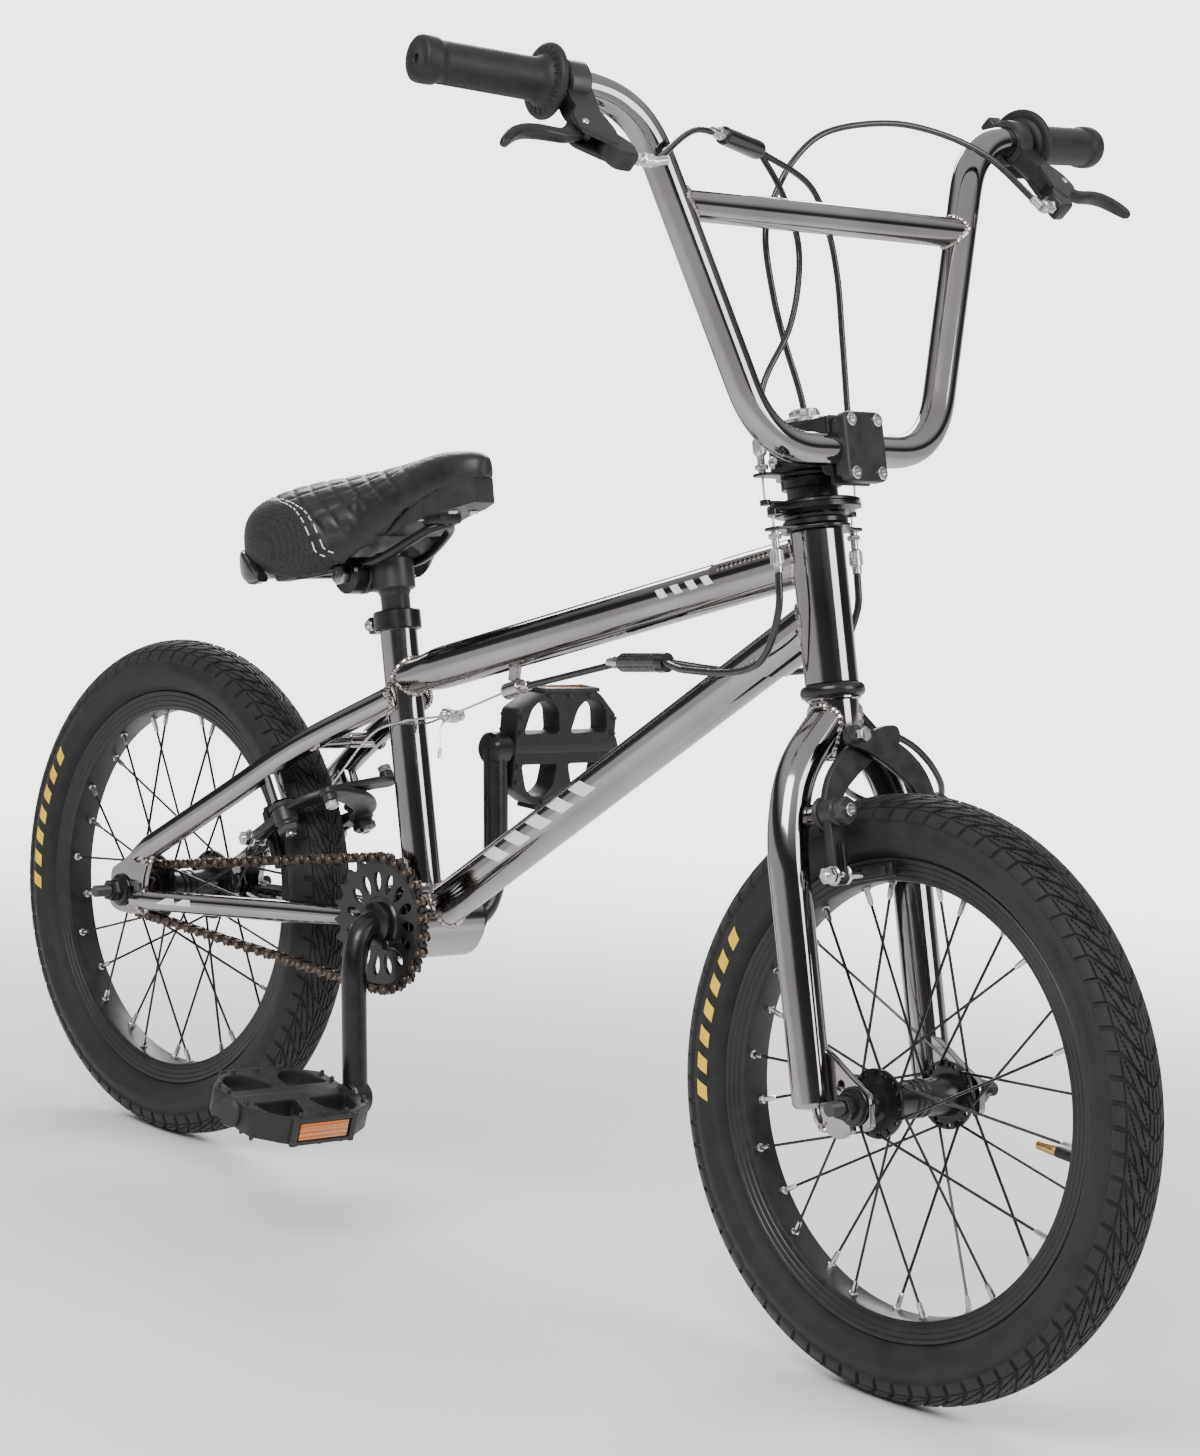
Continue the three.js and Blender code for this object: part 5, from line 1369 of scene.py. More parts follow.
def stem():
    """The stem's body with its top lip, and the faceplate that clamps the bar."""
    outline = rounded([(-20, 419.4, 4), (25.6, 419.4, 3), (28, 412.4, 3), (33.6, 411, 2), (34, 404.6, 1.5),
                       (37.4, 404.6, 1.5), (37.4, 451.6, 1.5), (24, 451.6, 4), (17, 450.4, 4),
                       (-20, 450.4, 5)])
    lip = slab(rounded([(-19.6, -16, 9), (20, -18, 3), (20, 18, 3), (-19.6, 16, 9)]), 2.4, 0.8)
    body = gathered(plate_across(outline, 0, 36.6, 2.4), shifted(lip, 0, 0, 450.6))
    fine("stem", placed(body, FRONT), SATIN, "steering")
    outline = rounded([(-19, 404.4, 7), (19, 404.4, 7), (19, 451.6, 7), (-19, 451.6, 7)])
    plate = plate_facing(outline, 48, 9, 1.8)
    jaw = block((11, 36.4, 38), (44.6, 0, BAR_BASE.z), 2.5, 3)
    fine("stem_faceplate", placed(gathered(plate, jaw), FRONT), SATIN, "steering")


def stem_bolts():
    """The four faceplate screws and two pinch bolts, the hollow steerer bolt and the headset's nut."""
    screws = Shape()
    for y in (-12.4, 12.4):
        for z in (-17.7, 17.7):
            screws.add(socket_screw((51.4, y, BAR_BASE.z + z), (1, 0, 0), 4.4, 2.8))
    for z in (428, 441):
        screws.add(socket_screw((-13, -18.4, z), (0, -1, 0), 4.2, 4.0))
    make("stem_bolts", placed(screws, FRONT), STEEL, "steering")
    bolt = turned([(4, 430), (8.6, 430), (8.6, 452.4), (14.4, 452.4), (15, 453), (15, 455.4), (14, 456),
                   (9.6, 456.4), (9.6, 461), (8.8, 462), (4, 462)], 40)
    bolt.add(hex_nut((0, 0, 454), (0, 0, 1), 19, 6.5, 4.2))
    fine("steerer_bolt", placed(bolt, FRONT), STEEL, "steering")
    nut = turned([(14.6, 390.5), (17.2, 390.5), (17.2, 408.6), (20, 408.6), (20.5, 409.2), (20.5, 415),
                  (20, 415.6), (14.6, 415.6)], 48)
    nut.add(hex_nut((0, 0, 409.4), (0, 0, 1), 36, 5.4, 16))
    fine("headset_nut", placed(nut, FRONT), BLACK, "steering")


def flipped(point):
    """The point's twin on the other side."""
    return Vector((point.x, -point.y, point.z))


def handlebar():
    """The bent bar with its crossbar and their welds."""
    half = [BAR_TIP.lerp(BAR_TOP, 0.02), BAR_TOP, BAR_BASE]
    corners = [flipped(p) for p in half] + half[::-1]
    main = tube(bent_path(corners, 41, 16), BAR_R, 40)
    joint = BAR_BASE.lerp(BAR_TOP, CROSS_SHARE)
    cross = rod(flipped(joint), joint, BAR_R - 0.6, 36)
    fine("handlebar", placed(gathered(main, cross), FRONT), CHROME, "steering")
    beads = Shape()
    for flip in (1, -1):
        end = joint if flip > 0 else flipped(joint)
        upright = BAR_TOP - BAR_BASE if flip > 0 else flipped(BAR_TOP - BAR_BASE)
        beads.add(weld((end, LEFT), BAR_R - 0.6, (end, upright), BAR_R, end - LEFT * flip * 12, 1.8, 20))
    make("handlebar_welds", placed(beads, FRONT), WELD, "steering")


def grip():
    """A smooth rubber grip: a thick rolled flange, a step near the end and a small drilled hole."""
    start, length = 64, 98
    flange = [(0, 0), (13, 0), (17.4, 0.4), (18.4, 1.4), (22.8, 0.8), (24.2, 1.8), (24.5, 3.4), (23.8, 5.2),
              (21.6, 6.2), (18.2, 6.6), (15.4, 8.4), (14.1, 11.5), (13.8, 15)]
    # The closed end, measured back from the tip.
    tip = [(13.6, 18), (13.7, 14), (14.9, 12.6), (15.1, 10), (15.1, 3.4), (14.6, 1.4), (13.2, 0.2), (11, 0),
           (3.6, 0), (3, 0.6), (3, 2), (0, 2)]
    place = pointing(BAR_TOP + GRIP_WAY * start, GRIP_WAY)
    shape = turned(flange + [(r, length - back) for r, back in tip], 56, place)
    for turn in turns_of(22):
        rib = rod((*polar(15.6, turn), 7.4), (*polar(22.4, turn), 5.6), 0.7, 6)
        shape.add(placed(rib, place))
    seam = rod((0, 13.55, 13), (0, 13.55, length - 15), 0.35, 6)
    return shape.add(seam, place)


LEVER_REACH = Vector((0.58, 0, -0.81))
LEVER_REACH = (LEVER_REACH - GRIP_WAY * LEVER_REACH.dot(GRIP_WAY)).normalized()
LEVER_NORMAL = GRIP_WAY.cross(LEVER_REACH).normalized()
LEVER_ORIGIN = BAR_TOP + GRIP_WAY * 50
LEVER = Matrix((
    (GRIP_WAY.x, LEVER_REACH.x, LEVER_NORMAL.x, LEVER_ORIGIN.x),
    (GRIP_WAY.y, LEVER_REACH.y, LEVER_NORMAL.y, LEVER_ORIGIN.y),
    (GRIP_WAY.z, LEVER_REACH.z, LEVER_NORMAL.z, LEVER_ORIGIN.z),
    (0, 0, 0, 1)))


def lever_bracket():
    """The split clamp, its forked arm and the cable barrel, in the lever's own plane."""
    clamp = placed(ring(BAR_R + 0.3, 16, -8, 8, 1.4), pointing((0, 0, 0), (1, 0, 0)))
    lug = block((15, 10, 11), (0, -17.5, 0), 2.0)
    web = slab(rounded([(-8, 10, 2), (8, 10, 2), (10, 30, 8), (-10, 50, 10), (-21, 60, 4), (-21, 73, 3),
                        (-7, 73, 5), (0, 60, 4), (-4, 40, 8)]), 14, 2.0)
    cheek = slab(rounded([(-6, 30, 6), (9, 28, 6), (17, 40, 5), (17.5, 54, 6), (5, 60, 5), (-8, 66, 5),
                          (-12, 52, 8)]), 3.4, 0.9)
    return gathered(clamp, lug, web, *[shifted(cheek, 0, 0, z) for z in (-6.2, 6.2)])


def lever_metal():
    """The pivot pin, clamp bolt and the silver cable adjuster of one lever."""
    pin = rod((10, 47, -8.6), (10, 47, 8.6), 2.6, 16)
    pin_head = socket_screw((10, 47, 7.6), (0, 0, 1), 4.4, 2.6)
    bolt = socket_screw((0, -18, 5.4), (0, 0, 1), 3.6, 3.4)
    barrel = adjuster((-20, 66.5, 0), (-1, 0, 0), 19)
    return gathered(pin, pin_head, bolt, barrel)


def lever_blade():
    """A two-finger blade with a hooked tip: rounded sections along its line."""
    # Place along the grip, reach from it, height and width of each section.
    line = [(5, 50, 5.5, 5.2), (12, 48, 7.5, 5.6), (20, 51, 7.6, 5.6), (29, 55, 6.0, 5.8),
            (38, 55.5, 5.2, 6.2),
            (50, 55.6, 4.8, 6.8), (62, 57.5, 4.6, 7.0), (72, 62, 4.6, 6.8), (79, 67.5, 4.4, 6.2),
            (83.5, 72, 3.6, 5.2), (85.5, 74.4, 1.6, 2.6)]
    centre = smooth_path([(along * 0.9, reach, 0) for along, reach, _, _ in line], 4)
    sizes = smooth_path([(high, wide, 0) for _, _, high, wide in line], 4)
    rings = []
    for i, point in enumerate(centre):
        ahead = centre[min(i + 1, len(centre) - 1)] - centre[max(i - 1, 0)]
        side = Vector((-ahead.y, ahead.x, 0)).normalized()
        high, wide = sizes[i].x, sizes[i].y
        row = []
        for t in turns_of(20):
            c, s = math.cos(t), math.sin(t)
            soft = (abs(c) ** 3 + abs(s) ** 3) ** (-1 / 3)
            row.append(point + side * (c * soft * high * 0.78) + Vector((0, 0, s * soft * wide * 0.72)))
        rings.append(row)
    return skin(rings)


def controls():
    """Both grips and brake levers, drawn for the left side and mirrored for the right."""
    for name, side in (("left", 1), ("right", -1)):
        def on_side(shape):
            return placed(shape if side > 0 else mirrored(shape), FRONT)

        fine(f"grip_{name}", on_side(grip()), GRIP, "steering", 50)
        fine(f"lever_bracket_{name}", on_side(placed(lever_bracket(), LEVER)), SATIN, "steering")
        make(f"lever_metal_{name}", on_side(placed(lever_metal(), LEVER)), STEEL, "steering")
        fine(f"brake_lever_{name}", on_side(placed(lever_blade(), LEVER)), SATIN, f"{name}_lever")


def lever_point(along, reach):
    """A point in the plane of the left brake lever."""
    return LEVER @ Vector((along, reach, 0))


def cockpit_cables():
    """The two upper gyro cables with their splitter, and the front brake cable through the steerer."""
    start = flipped(lever_point(-38, 66.5))
    split_in, split_out = Vector((42, -96, 631)), Vector((28, -48, 628))
    lead = [start, (50, -128, 629), split_in]
    right = [split_out, (16, -18, 607), (8, 2, 577), (9, -1, 552), (8, -14, 516), (2, -38, 478),
             (GYRO_X, -GYRO_HIGH_Y, 447.6)]
    left = [split_out, (18, 10, 610), (6, 36, 583), (4, 42, 554), (1, 44, 515), (GYRO_X, GYRO_HIGH_Y, 447.6)]
    jackets = Shape()
    for route, steps in ((lead, 8), (right, 12), (left, 12)):
        jackets.add(tube(smooth_path(route, steps), 2.2, 14))
    along = (split_out - split_in).normalized()
    splitter = [split_in + along * 2, split_in + along * 3, split_out - along * 3, split_out - along,
                split_out]
    jackets.add(tube(splitter, [5.2, 6.2, 6.5, 6.2, 5.4], 24))
    fine("gyro_upper_cables", placed(jackets, FRONT), JACKET, "steering")
    over_bar = [lever_point(-38, 66.5), (52, 150, 637), (38, 96, 655), (26, 60, 656), (18, 24, 647),
                (10, 4, 630),
                (3, -7, 611), (-3, -16, 584), (-4, -14, 540), (-3, -9, 509)]
    through_steerer = [(0, 0, 462), (0, 0, 350), (0, 0, 226)]
    under_crown = [(-12, 12, 213), (-23, 38, 203), (-19, 72, 194), (0, 90, 194), (14, 82, 204), (20, 68, 218),
                   (21, 52, 231), (20.5, 34, 240)]
    brake = smooth_path(over_bar + through_steerer + under_crown, 10)
    fine("front_brake_cable", placed(tube(brake, 2.3, 14), FRONT), JACKET, "steering")
    ends = gathered(
        tube([split_in - along * back for back in (-3, 0, 4, 5, 12)], [3.6, 4.2, 4.2, 3.0, 2.8], 16),
        rod(brake[0], brake[0] + (brake[1] - brake[0]).normalized() * 9, 3.0, 16),
        rod(start, start + Vector((3, 8, 1)), 3.0, 16))
    make("cable_ferrules", placed(ends, FRONT), STEEL, "steering")


# ---------- brakes ----------
def arm_tip(pivot_y, u, layer):
    """The outer face of the cable anchor at an arm's far end."""
    return Vector((u + layer + math.copysign(8, layer), 68 - pivot_y, BRAKE_W + 49))


def brake_arm(pivot_y, u, layer):
    """The arm of the right side: boss, curved arch over the tyre and the leg that holds the pad."""
    w = BRAKE_W
    boss = gathered(rod((u - 7, -pivot_y, w), (u + 7, -pivot_y, w), 9.4, 32, bevel=1.4),
                    rod((u + 6, -pivot_y, w), (u + 9.5, -pivot_y, w), 7.8, 28, bevel=1.2),
                    hex_nut((u + 9.4, -pivot_y, w), (1, 0, 0), 16, 5.2))

    def about_pivot(corners, steps=5):
        return rounded([(y - pivot_y, z + w, radius) for y, z, radius in corners], steps)

    slot = about_pivot([(-2.6, -20, 2.4), (-2.6, -44, 2.4), (2.6, -44, 2.4), (2.6, -20, 2.4)])
    leg = plate_facing(about_pivot([(-7.5, 0, 4), (-6.5, -48, 6), (6.5, -48, 6), (7.5, 0, 4)]),
                       u, 7, 1.2, [slot])
    arch = plate_facing(about_pivot([
        (-8, -2, 6), (0, 24, 14), (22, 43, 16), (58, 56, 10), (74, 56, 6), (75, 43, 6), (60, 40, 8),
        (36, 28, 14),
        (14, 12, 8), (8, -6, 6)], 7), u + layer, 5, 1.2)
    away = 1 if layer > 0 else -1
    root = rod((u - 3, -pivot_y, w + 1), (u + layer + away * 2.5, -pivot_y, w + 1), 7, 24)
    tip = arm_tip(pivot_y, u, layer)
    end = rod(tip - Vector((away * 10.4, 0, 0)), tip, 5.6, 24)
    return gathered(boss, leg, arch, root, end)


def pad_parts(pivot_y, u, axle_u):
    """Rubber pad with its shoe, and the silver post, washers and nut through the arm's slot."""
    w = BRAKE_W - 41
    turn = Matrix.Translation((u, -18.6, w)) @ Matrix.Rotation(math.atan2(u - axle_u, w), 4, "Y")
    pad = placed(gathered(block((50, 6, 9.4), (0, 0, 0), 1.6), block((42, 3, 6), (0, -4.2, 0), 1.0)), turn)
    metal = gathered(
        rod((u, -pivot_y - 15, w), (u, -22, w), 3.0, 16),
        placed(ring(3, 6.6, 0, 2.4, 0.6, 24), pointing((u, -pivot_y + 7, w), (0, -1, 0))),
        hex_nut((u, -pivot_y - 7.4, w), (0, -1, 0), 10, 5.6),
        placed(ring(3, 6.8, 0, 2.2, 0.8, 24), pointing((u, -pivot_y - 4.6, w), (0, -1, 0))))
    return pad, metal


def arm_metal(pivot_y, u, layer):
    """The pivot bolt's head and the anchor at the arm's far end."""
    bolt = socket_screw((u + 14.4, -pivot_y, BRAKE_W), (1, 0, 0), 4.4, 3.0)
    return gathered(bolt, hex_nut(arm_tip(pivot_y, u, layer), (layer, 0, 0), 9, 5))


def spring(pivot_y, u):
    """The return spring's coil behind the boss and its leg down the arm."""
    coil = []
    for k in range(60):
        y, z = polar(10.2, 2 * math.pi * k / 16)
        coil.append((u - 8.4 + k * 0.045, y - pivot_y, z + BRAKE_W))
    coil.append((u - 6, -pivot_y + 6, BRAKE_W - 24))
    return tube(coil, 0.9, 8)


def brakes():
    """Both pairs of arms, drawn for the right side and mirrored for the left, with pads and springs."""
    ends = (("front", FRONT_PIVOT_Y, 31, FORK_OFFSET, FRONT), ("rear", REAR_PIVOT_Y, 24, 0, STAY_BRAKE))
    for end, pivot_y, u, axle_u, place in ends:
        for name, side, layer in (("right", -1, -3.5), ("left", 1, 3.5)):
            def on_side(shape):
                return placed(shape if side < 0 else mirrored(shape), place)

            body = f"{end}_brake_{name}"
            pad, metal = pad_parts(pivot_y, u, axle_u)
            metal.add(arm_metal(pivot_y, u, layer))
            fine(f"{end}_brake_arm_{name}", on_side(brake_arm(pivot_y, u, layer)), SATIN, body)
            make(f"{end}_pad_{name}", on_side(pad), GRIP, body)
            make(f"{end}_pad_metal_{name}", on_side(metal), STEEL, body)
            make(f"{end}_spring_{name}", on_side(spring(pivot_y, u)), SATIN, body)


# ---------- seat ----------
RAIL_Y = 21
# The tilt bolt, in the saddle's axes.
TILT_X, TILT_Z = -22, -12


def seat_post():
    """The post with its sleeve, and the clamp with its collar, drum and cross bolt."""
    post = [(0, 0), (POST_R, 0), (POST_R, 135.4), (11.5, 136.4), (12.3, 138), (12.3, 168), (0, 168)]
    fine("seat_post", turned(post, 48, axes_at(seat_point(110), SEAT_UP)), BLACK, "seat_post")
    clamp_place = axes_at(seat_point(250), SEAT_UP)
    collar = placed(ring(12.5, 16.3, 0, 24, 1.2), clamp_place)
    half_drum = [(0, -14.5), (13, -14.5), (14, -13.5), (14, -9), (12.6, -8)]
    drum = turned_across(half_drum + [(r, -y) for r, y in half_drum[::-1]], 40, (TILT_X, 0, TILT_Z))
    neck = block((18, 22, 18), (TILT_X + 10, 0, TILT_Z - 1), 3)
    fine("saddle_clamp", gathered(collar, placed(gathered(drum, neck), SADDLE)), SATIN, "seat_post")
    bolt = cross_rod(TILT_X, TILT_Z, -34, 34, 4)
    for side in (1, -1):
        bolt.add(hex_nut((TILT_X, side * 29.5, TILT_Z), (0, side, 0), 13, 6))
    make("saddle_clamp_bolt", placed(bolt, SADDLE), STEEL, "seat_post")


def saddle_rails():
    """The bent rail wire, with the toothed cheeks of the tilt clamp on both sides."""
    half = [(-90, -29, -3), (-78, -27, -4), (-40, -RAIL_Y, -4), (10, -RAIL_Y, -4), (44, -15, 6), (60, -9, 12)]
    shape = tube(smooth_path(half + [(66, 0, 14)] + [(x, -y, z) for x, y, z in half[::-1]], 8), 3.5, 16)
    cheek = [(5, 15.4), (12.6, 15.4), (14, 17), (14, 27), (12.4, 29), (5, 29)]
    for side in (-1, 1):
        shape.add(turned_across([(r, side * y) for r, y in cheek], 40, (TILT_X, 0, TILT_Z)))
    fine("saddle_rails", placed(shape, SADDLE), BLACK, "saddle")


def eased(values):
    """A smooth value along 0..1 through evenly spaced values."""
    def at(u):
        place = min(max(u, 0.0), 1.0) * (len(values) - 1)
        index = min(int(place), len(values) - 2)
        t = place - index
        before, after = values[max(index - 1, 0)], values[min(index + 2, len(values) - 1)]
        a, b = values[index], values[index + 1]
        return 0.5 * (2 * a + (b - before) * t + (2 * before - 5 * a + 4 * b - after) * t * t
                      + (3 * a - before - 3 * b + after) * t ** 3)
    return at


# The saddle's shape from tail to nose, in millimetres; the seam's places are in degrees round the section.
SEAT_TAIL, SEAT_NOSE = -138, 118
HALF_WIDTH = eased([40, 68, 71, 60, 39, 29, 25, 21])
LOWER_EDGE = eased([4, 1, -13, -17, -2, 19, 31, 36])
TOP_LINE = eased([47, 58.5, 62, 61.5, 61.5, 63, 67.5, 68])
BASE_HEIGHT = eased([-2, -6, 2, 10, 20, 24, 26, 30])
SEAM = eased([48, 52, 50, 42, 22, -25])


def saddle_point(u, angle, grow=0.0):
    """A point of the padded shell: angle 0 at the right edge, 90 on top, 180 at the left edge."""
    t = 2 * u - 1
    taper = max(0.0, 1 - abs(t) ** 3.6) ** 0.42
    c, s = math.cos(angle), math.sin(angle)
    across = math.copysign(abs(c) ** 0.62, c)
    low, high = LOWER_EDGE(u), TOP_LINE(u)
    middle = low + (high - low) * 0.30
    rise = math.copysign(abs(s) ** 0.72, s)
    up = (high - middle) * rise if s > 0 else (middle - low) * rise
    x = SEAT_TAIL + (SEAT_NOSE - SEAT_TAIL) * u
    return Vector((x, (HALF_WIDTH(u) + grow) * across * taper, middle + up * (0.35 + 0.65 * taper)))


def cushion_shell():
    """The cover and its padding as a closed shell, open underneath round the base."""
    rings = []
    for i in range(57):
        u = 0.5 - 0.5 * math.cos(math.pi * (0.012 + 0.976 * i / 56))
        angles = [math.radians(-50 + 280 * k / 44) for k in range(45)]
        outer = [saddle_point(u, angle, 1.2) for angle in angles]
        within = 0.06 + 0.86 * u
        low = LOWER_EDGE(within)
        inner = []
        for angle in reversed(angles):
            p = saddle_point(within, angle)
            inner.append(Vector((p.x, p.y * 0.84, low + (p.z - low) * 0.45)))
        rings.append(outer + inner)
    return skin(rings)


def seam_angle(u):
    """Where the stitched seam runs: from the top of the tail down to the lower edge."""
    return math.radians(SEAM((u - 0.05) / 0.46))


def behind_seam(local):
    """Whether a point of the cover is on the mesh side of the seam."""
    u = (local.x - SEAT_TAIL) / (SEAT_NOSE - SEAT_TAIL)
    return u < 0.05 or (u < 0.5 and local.z < saddle_point(u, seam_angle(u)).z)


# How far the simulation may move a point of the cover, in metres.
SWELL_LIMIT = 0.0025


def inflate(piece):
    """Lets the padding swell by cloth simulation, then caps how far each point may go."""
    rest = [v.co.copy() for v in piece.data.vertices]
    cloth = piece.modifiers.new("padding", "CLOTH")
    cloth.settings.use_pressure = True
    cloth.settings.uniform_pressure_force = 4
    cloth.settings.effector_weights.gravity = 0
    cloth.settings.quality = 5
    scene = bpy.context.scene
    for step in range(1, 16):
        scene.frame_set(step)
    shown = piece.evaluated_get(bpy.context.evaluated_depsgraph_get())
    swollen = [v.co.copy() for v in shown.data.vertices]
    piece.modifiers.remove(cloth)
    scene.frame_set(1)
    for vertex, before, after in zip(piece.data.vertices, rest, swollen):
        step = after - before
        vertex.co = before + step * (min(step.length, SWELL_LIMIT) / max(step.length, 1e-9))


def quilted(local):
    """How deep the quilting presses in at a point of the saddle's own frame, in millimetres."""
    x, y, z = local
    if behind_seam(local):
        return 0.0
    u = (x - SEAT_TAIL) / (SEAT_NOSE - SEAT_TAIL)
    low, high = LOWER_EDGE(u), TOP_LINE(u)
    share = (z - low) / max(high - low, 1)
    round_way = math.copysign(abs(y) + max(0.0, high - z) * 0.9, y)
    a, b = (x + round_way) / 21.0, (x - round_way) / 21.0
    lines = min(abs(a - round(a)), abs(b - round(b))) * 2
    fade = min(1.0, max(0.0, (share - 0.30) / 0.2)) * min(1.0, max(0.0, (0.80 - u) / 0.2))
    return -0.9 * math.exp(-(lines / 0.24) ** 2) * fade


def saddle_leather():
    """Black vinyl with a fine leather grain and a soft sheen."""
    material, tree, bsdf = new_material("saddle_vinyl")
    coordinates = tree.nodes.new("ShaderNodeTexCoord")
    cells = node(tree, "ShaderNodeTexVoronoi", Scale=900.0)
    cells.feature = "DISTANCE_TO_EDGE"
    tree.links.new(coordinates.outputs["Object"], cells.inputs["Vector"])
    mottle = object_noise(tree, 70)
    colour = ramp(tree, mottle.outputs["Fac"], 0.3, 0.7, ((0.007, 0.007, 0.0075), (0.015, 0.015, 0.016)))
    tree.links.new(colour, bsdf.inputs["Base Color"])
    bsdf.inputs["Specular IOR Level"].default_value = 0.4
    tree.links.new(between(tree, mottle.outputs["Fac"], 0.34, 0.48), bsdf.inputs["Roughness"])
    bsdf.inputs["Sheen Weight"].default_value = 0.05
    grain = bump(tree, bsdf, cells.outputs["Distance"], 0.35, 0.0002)
    bump(tree, bsdf, object_noise(tree, 260).outputs["Fac"], 0.25, 0.0006, grain)
    return material


def mesh_panel():
    """Woven mesh for the saddle's rear corners."""
    material, tree, bsdf = new_material("saddle_mesh")
    coordinates = tree.nodes.new("ShaderNodeTexCoord")
    weave = node(tree, "ShaderNodeTexVoronoi", Scale=560.0, Randomness=0.4)
    tree.links.new(coordinates.outputs["Object"], weave.inputs["Vector"])
    colour = ramp(tree, weave.outputs["Distance"], 0.25, 0.55, ((0.003, 0.003, 0.003), (0.022, 0.022, 0.023)))
    tree.links.new(colour, bsdf.inputs["Base Color"])
    bsdf.inputs["Roughness"].default_value = 0.62
    bsdf.inputs["Sheen Weight"].default_value = 0.05
    bsdf.inputs["Specular IOR Level"].default_value = 0.3
    bump(tree, bsdf, weave.outputs["Distance"], 0.8, 0.0006)
    return material


def saddle_cushion():
    """The padded cover: an even mesh, swollen, smoothed, then pressed in along the quilting."""
    shell = placed(cushion_shell(), SADDLE)
    piece = fine("saddle_cushion", shell, saddle_leather(), "saddle", 60, "saddle_cover")
    piece.data.materials.append(mesh_panel())
    remesh = piece.modifiers.new("even", "REMESH")
    remesh.mode = "VOXEL"
    remesh.voxel_size = 0.0032
    shown = piece.evaluated_get(bpy.context.evaluated_depsgraph_get())
    even = bpy.data.meshes.new_from_object(shown)
    piece.modifiers.clear()
    piece.data = even
    inflate(piece)
    bm = bmesh.new()
    bm.from_mesh(piece.data)
    bmesh.ops.smooth_vert(bm, verts=bm.verts, factor=0.5, use_axis_x=True, use_axis_y=True, use_axis_z=True)
    bmesh.ops.subdivide_edges(bm, edges=bm.edges[:], cuts=1, use_grid_fill=True, smooth=0.6)
    bm.normal_update()
    back = SADDLE.inverted()
    for vertex in bm.verts:
        local = back @ (vertex.co * 1000)
        vertex.co += vertex.normal * quilted(local) * 0.001
    for face in bm.faces:
        face.smooth = True
        local = back @ (face.calc_center_median() * 1000)
        face.material_index = 1 if behind_seam(local) else 0
    bm.to_mesh(piece.data)
    bm.free()
    return piece


def saddle_base():
    """The moulded base: flat inside the cover, with a skirt that shows below it toward the nose."""
    rings = []
    for i in range(45):
        u = 0.5 - 0.5 * math.cos(math.pi * (0.02 + 0.96 * i / 44))
        inner_u = 0.045 + 0.93 * u
        skirt = 13 * min(1.0, max(0.0, (inner_u - 0.50) / 0.4)) ** 1.5
        sides = [saddle_point(inner_u, math.radians(180 * k / 24)) for k in range(25)]
        low = LOWER_EDGE(inner_u)
        flat_z = max(low + 3, BASE_HEIGHT(inner_u) - 1)
        floor_z = flat_z + (low + 1 - skirt - flat_z) * min(1.0, skirt / 4)
        wide = 0.80 + 0.12 * min(1.0, skirt / 8)
        upper = [Vector((p.x, p.y * wide, max(floor_z + 5, low + 6))) for p in sides]
        lower = [Vector((p.x, p.y * (wide - 0.03), floor_z)) for p in reversed(sides)]
        rings.append(upper + lower)
    shape = skin(rings)
    fine("saddle_base", placed(shape, SADDLE), GREY, "saddle")
    sockets = Shape()
    for side in (-1, 1):
        sockets.add(block((26, 15, 9), (-86, side * 28, -2), 2.5))
    sockets.add(block((20, 24, 12), (62, 0, 20), 3))
    make("saddle_rail_sockets", placed(sockets, SADDLE), GREY, "saddle")
    screws = Shape()
    head = turned([(0, 0), (3.8, 0), (3.4, -1.6), (1.2, -1.9), (1.2, -1.1), (0, -1.1)], 20)
    for x, y, z in ((56, 16, 19.6), (56, -16, 19.6), (86, 10, 20.6), (86, -10, 20.6)):
        screws.add(shifted(head, x, y, z))
    make("saddle_screws", placed(screws, SADDLE), STEEL, "saddle")


def saddle_bumper():
    """The band round the tail's lower edge, thinning out forward along both sides."""
    rings = []
    for k in range(41):
        share = 1 - abs(k - 20) / 20
        u = 0.26 * (1 - share) ** 1.15 + 0.004
        side = -1 if k < 20 else 1
        p = saddle_point(u, 0)
        at = Vector((p.x, side * abs(p.y), LOWER_EDGE(u) + 9 - 5 * (1 - share)))
        out = Vector((at.x + 84, at.y * 0.8, 0)).normalized()
        size = max(0.12, min(1.0, share / 0.22)) ** 0.6
        row = []
        for t in turns_of(16):
            deep = math.copysign(abs(math.cos(t)) ** 0.6, math.cos(t)) * 6.5
            tall = math.copysign(abs(math.sin(t)) ** 0.6, math.sin(t)) * 11.5 * size
            row.append(at + out * (deep - 0.6) + Vector((0, 0, tall)))
        rings.append(row)
    make("saddle_bumper", placed(skin(rings), SADDLE), GLOSSY, "saddle")


def stitches(cushion):
    """Two dashed rows of white thread down each side, laid on the finished cover."""
    surface = BVHTree.FromPolygons([v.co for v in cushion.data.vertices],
                                   [tuple(f.vertices) for f in cushion.data.polygons])
    thread = Shape()
    back = SADDLE.inverted()
    count = 26
    for side in (-1, 1):
        for row in (0.0, 0.022):
            for k in range(count):
                ends = []
                for part in (0.0, 0.3, 0.62):
                    u = 0.05 + 0.44 * (k + part) / count + row
                    p = saddle_point(u, seam_angle(u - row), 1.0)
                    guess = SADDLE @ Vector((p.x, side * abs(p.y), p.z))
                    spot, normal, _, _ = surface.find_nearest(guess * 0.001)
                    ends.append(back @ ((spot + normal * 0.00025) * 1000))
                thread.add(tube(ends, 0.5, 6))
    make("saddle_stitches", placed(thread, SADDLE), WHITE, "saddle")


# ---------- camera, floor and light ----------
CAMERA_AT = Vector((1.9713, -1.8028, 0.7058))
CAMERA_FORWARD = Vector((-0.73172555, 0.67089663, -0.12031391))
CAMERA_UP = Vector((-0.14432019, 0.02001385, 0.98932863))


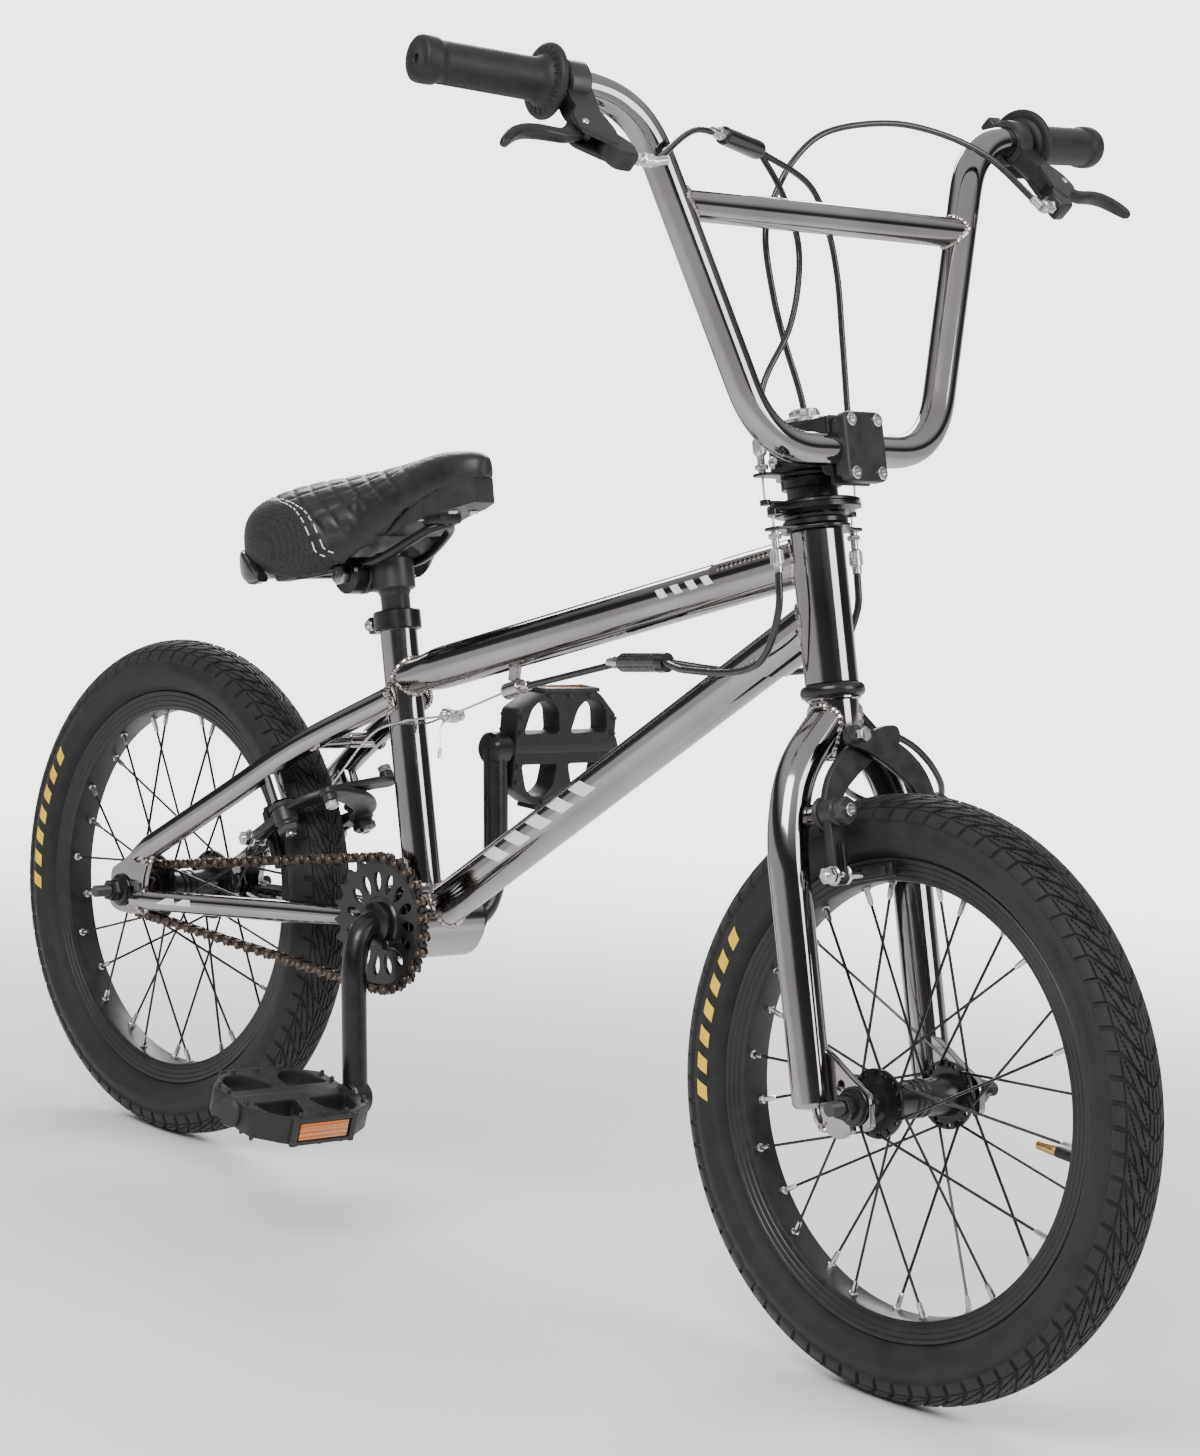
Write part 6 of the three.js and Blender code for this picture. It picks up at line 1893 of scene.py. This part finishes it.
def camera():
    """The photograph's view: from low at the front right, held a few degrees off level."""
    forward, up = CAMERA_FORWARD, CAMERA_UP
    right = forward.cross(up).normalized()
    up = right.cross(forward)
    data = bpy.data.cameras.new("camera")
    data.lens = 91.81
    data.sensor_width = 36
    data.shift_x = 0.0454
    data.shift_y = 0.0043
    holder = bpy.data.objects.new("camera", data)
    holder.matrix_world = Matrix((
        (right.x, up.x, -forward.x, CAMERA_AT.x),
        (right.y, up.y, -forward.y, CAMERA_AT.y),
        (right.z, up.z, -forward.z, CAMERA_AT.z),
        (0, 0, 0, 1)))
    bpy.context.scene.collection.objects.link(holder)
    bpy.context.scene.camera = holder


# Where the floor begins and ends to fade, in metres from the middle.
FADE_FROM, FADE_TO = 0.75, 2.2


def floor():
    """A plain pale floor that fades away with distance from the bike."""
    mesh = bpy.data.meshes.new("floor")
    half = 12.0
    corners = [(-half, -half, 0), (half, -half, 0), (half, half, 0), (-half, half, 0)]
    mesh.from_pydata(corners, [], [(0, 1, 2, 3)])
    material, tree, bsdf = new_material("pale_floor")
    shades = ((0.90, 0.90, 0.905), (0.93, 0.93, 0.935))
    colour = ramp(tree, object_noise(tree, 1.5).outputs["Fac"], 0.3, 0.7, shades)
    tree.links.new(colour, bsdf.inputs["Base Color"])
    bsdf.inputs["Roughness"].default_value = 0.7
    bsdf.inputs["Specular IOR Level"].default_value = 0.2
    coordinates = tree.nodes.new("ShaderNodeTexCoord")
    distance = tree.nodes.new("ShaderNodeVectorMath")
    distance.operation = "LENGTH"
    tree.links.new(coordinates.outputs["Object"], distance.inputs[0])
    away = node(tree, "ShaderNodeMapRange", From_Min=FADE_FROM, From_Max=FADE_TO)
    away.interpolation_type = "SMOOTHSTEP"
    tree.links.new(distance.outputs["Value"], away.inputs["Value"])
    mixed = tree.nodes.new("ShaderNodeMixShader")
    tree.links.new(away.outputs["Result"], mixed.inputs[0])
    tree.links.new(bsdf.outputs["BSDF"], mixed.inputs[1])
    tree.links.new(tree.nodes.new("ShaderNodeBsdfTransparent").outputs["BSDF"], mixed.inputs[2])
    tree.links.new(mixed.outputs["Shader"], tree.nodes["Material Output"].inputs["Surface"])
    mesh.materials.append(material)
    holder = bpy.data.objects.new("floor", mesh)
    holder.location.z = -0.0005
    bpy.context.scene.collection.objects.link(holder)


def lamp(name, at, target, size, energy):
    """A rectangular soft box facing its target."""
    data = bpy.data.lights.new(name, "AREA")
    data.shape = "RECTANGLE"
    data.size, data.size_y = size
    data.energy = energy
    holder = bpy.data.objects.new(name, data)
    holder.location = at
    holder.rotation_mode = "QUATERNION"
    holder.rotation_quaternion = (Vector(target) - Vector(at)).to_track_quat("-Z", "Y")
    bpy.context.scene.collection.objects.link(holder)


# How bright the camera sees the background; the reflections keep the studio's own shades.
WHITE_ROOM = 3.6


def studio():
    """Soft boxes above and to the sides, and a pale room that is darker near the horizon."""
    floor()
    lamp("key", (1.2, -2.6, 2.6), (0, 0, 0.4), (2.2, 1.6), 120)
    lamp("fill", (3.0, 0.8, 1.6), (0.1, 0, 0.4), (1.6, 1.6), 52)
    lamp("back", (-2.4, 1.8, 2.2), (0, 0, 0.4), (2.4, 1.2), 90)
    world = bpy.data.worlds.new("studio")
    bpy.context.scene.world = world
    world.use_nodes = True
    tree = world.node_tree
    coordinates = tree.nodes.new("ShaderNodeTexCoord")
    split = tree.nodes.new("ShaderNodeSeparateXYZ")
    tree.links.new(coordinates.outputs["Generated"], split.inputs["Vector"])
    blend = tree.nodes.new("ShaderNodeValToRGB")
    stops = blend.color_ramp
    stops.elements[0].position, stops.elements[0].color = 0.50, (0.95, 0.95, 0.96, 1)
    stops.elements[1].position, stops.elements[1].color = 1.0, (0.9, 0.9, 0.92, 1)
    for place, shade in ((0.53, 0.9), (0.56, 0.10), (0.66, 0.06), (0.72, 0.5), (0.8, 0.95)):
        stop = stops.elements.new(place)
        stop.color = (shade, shade, shade * 1.01, 1)
    height = node(tree, "ShaderNodeMapRange", From_Min=-1.0, From_Max=1.0)
    tree.links.new(split.outputs["Z"], height.inputs["Value"])
    tree.links.new(height.outputs["Result"], blend.inputs["Fac"])
    background = tree.nodes["Background"]
    tree.links.new(blend.outputs["Color"], background.inputs["Color"])
    background.inputs["Strength"].default_value = 0.9
    backdrop = node(tree, "ShaderNodeBackground", Color=(1, 1, 1, 1), Strength=WHITE_ROOM)
    seen = tree.nodes.new("ShaderNodeLightPath")
    choice = tree.nodes.new("ShaderNodeMixShader")
    tree.links.new(seen.outputs["Is Camera Ray"], choice.inputs[0])
    tree.links.new(background.outputs["Background"], choice.inputs[1])
    tree.links.new(backdrop.outputs["Background"], choice.inputs[2])
    tree.links.new(choice.outputs["Shader"], tree.nodes["World Output"].inputs["Surface"])


# ---------- assembly ----------
camera()
studio()
wheels()
frame_tubes()
frame_welds()
head_gussets()
cable_stop()
frame_marks()
headset()
gyro()
frame_cables()
straddle()
seat_collar()
chain()
chainring()
freewheel()
crank()
pedals()
fork()
stem()
stem_bolts()
handlebar()
controls()
cockpit_cables()
brakes()
seat_post()
saddle_rails()
stitches(saddle_cushion())
saddle_base()
saddle_bumper()
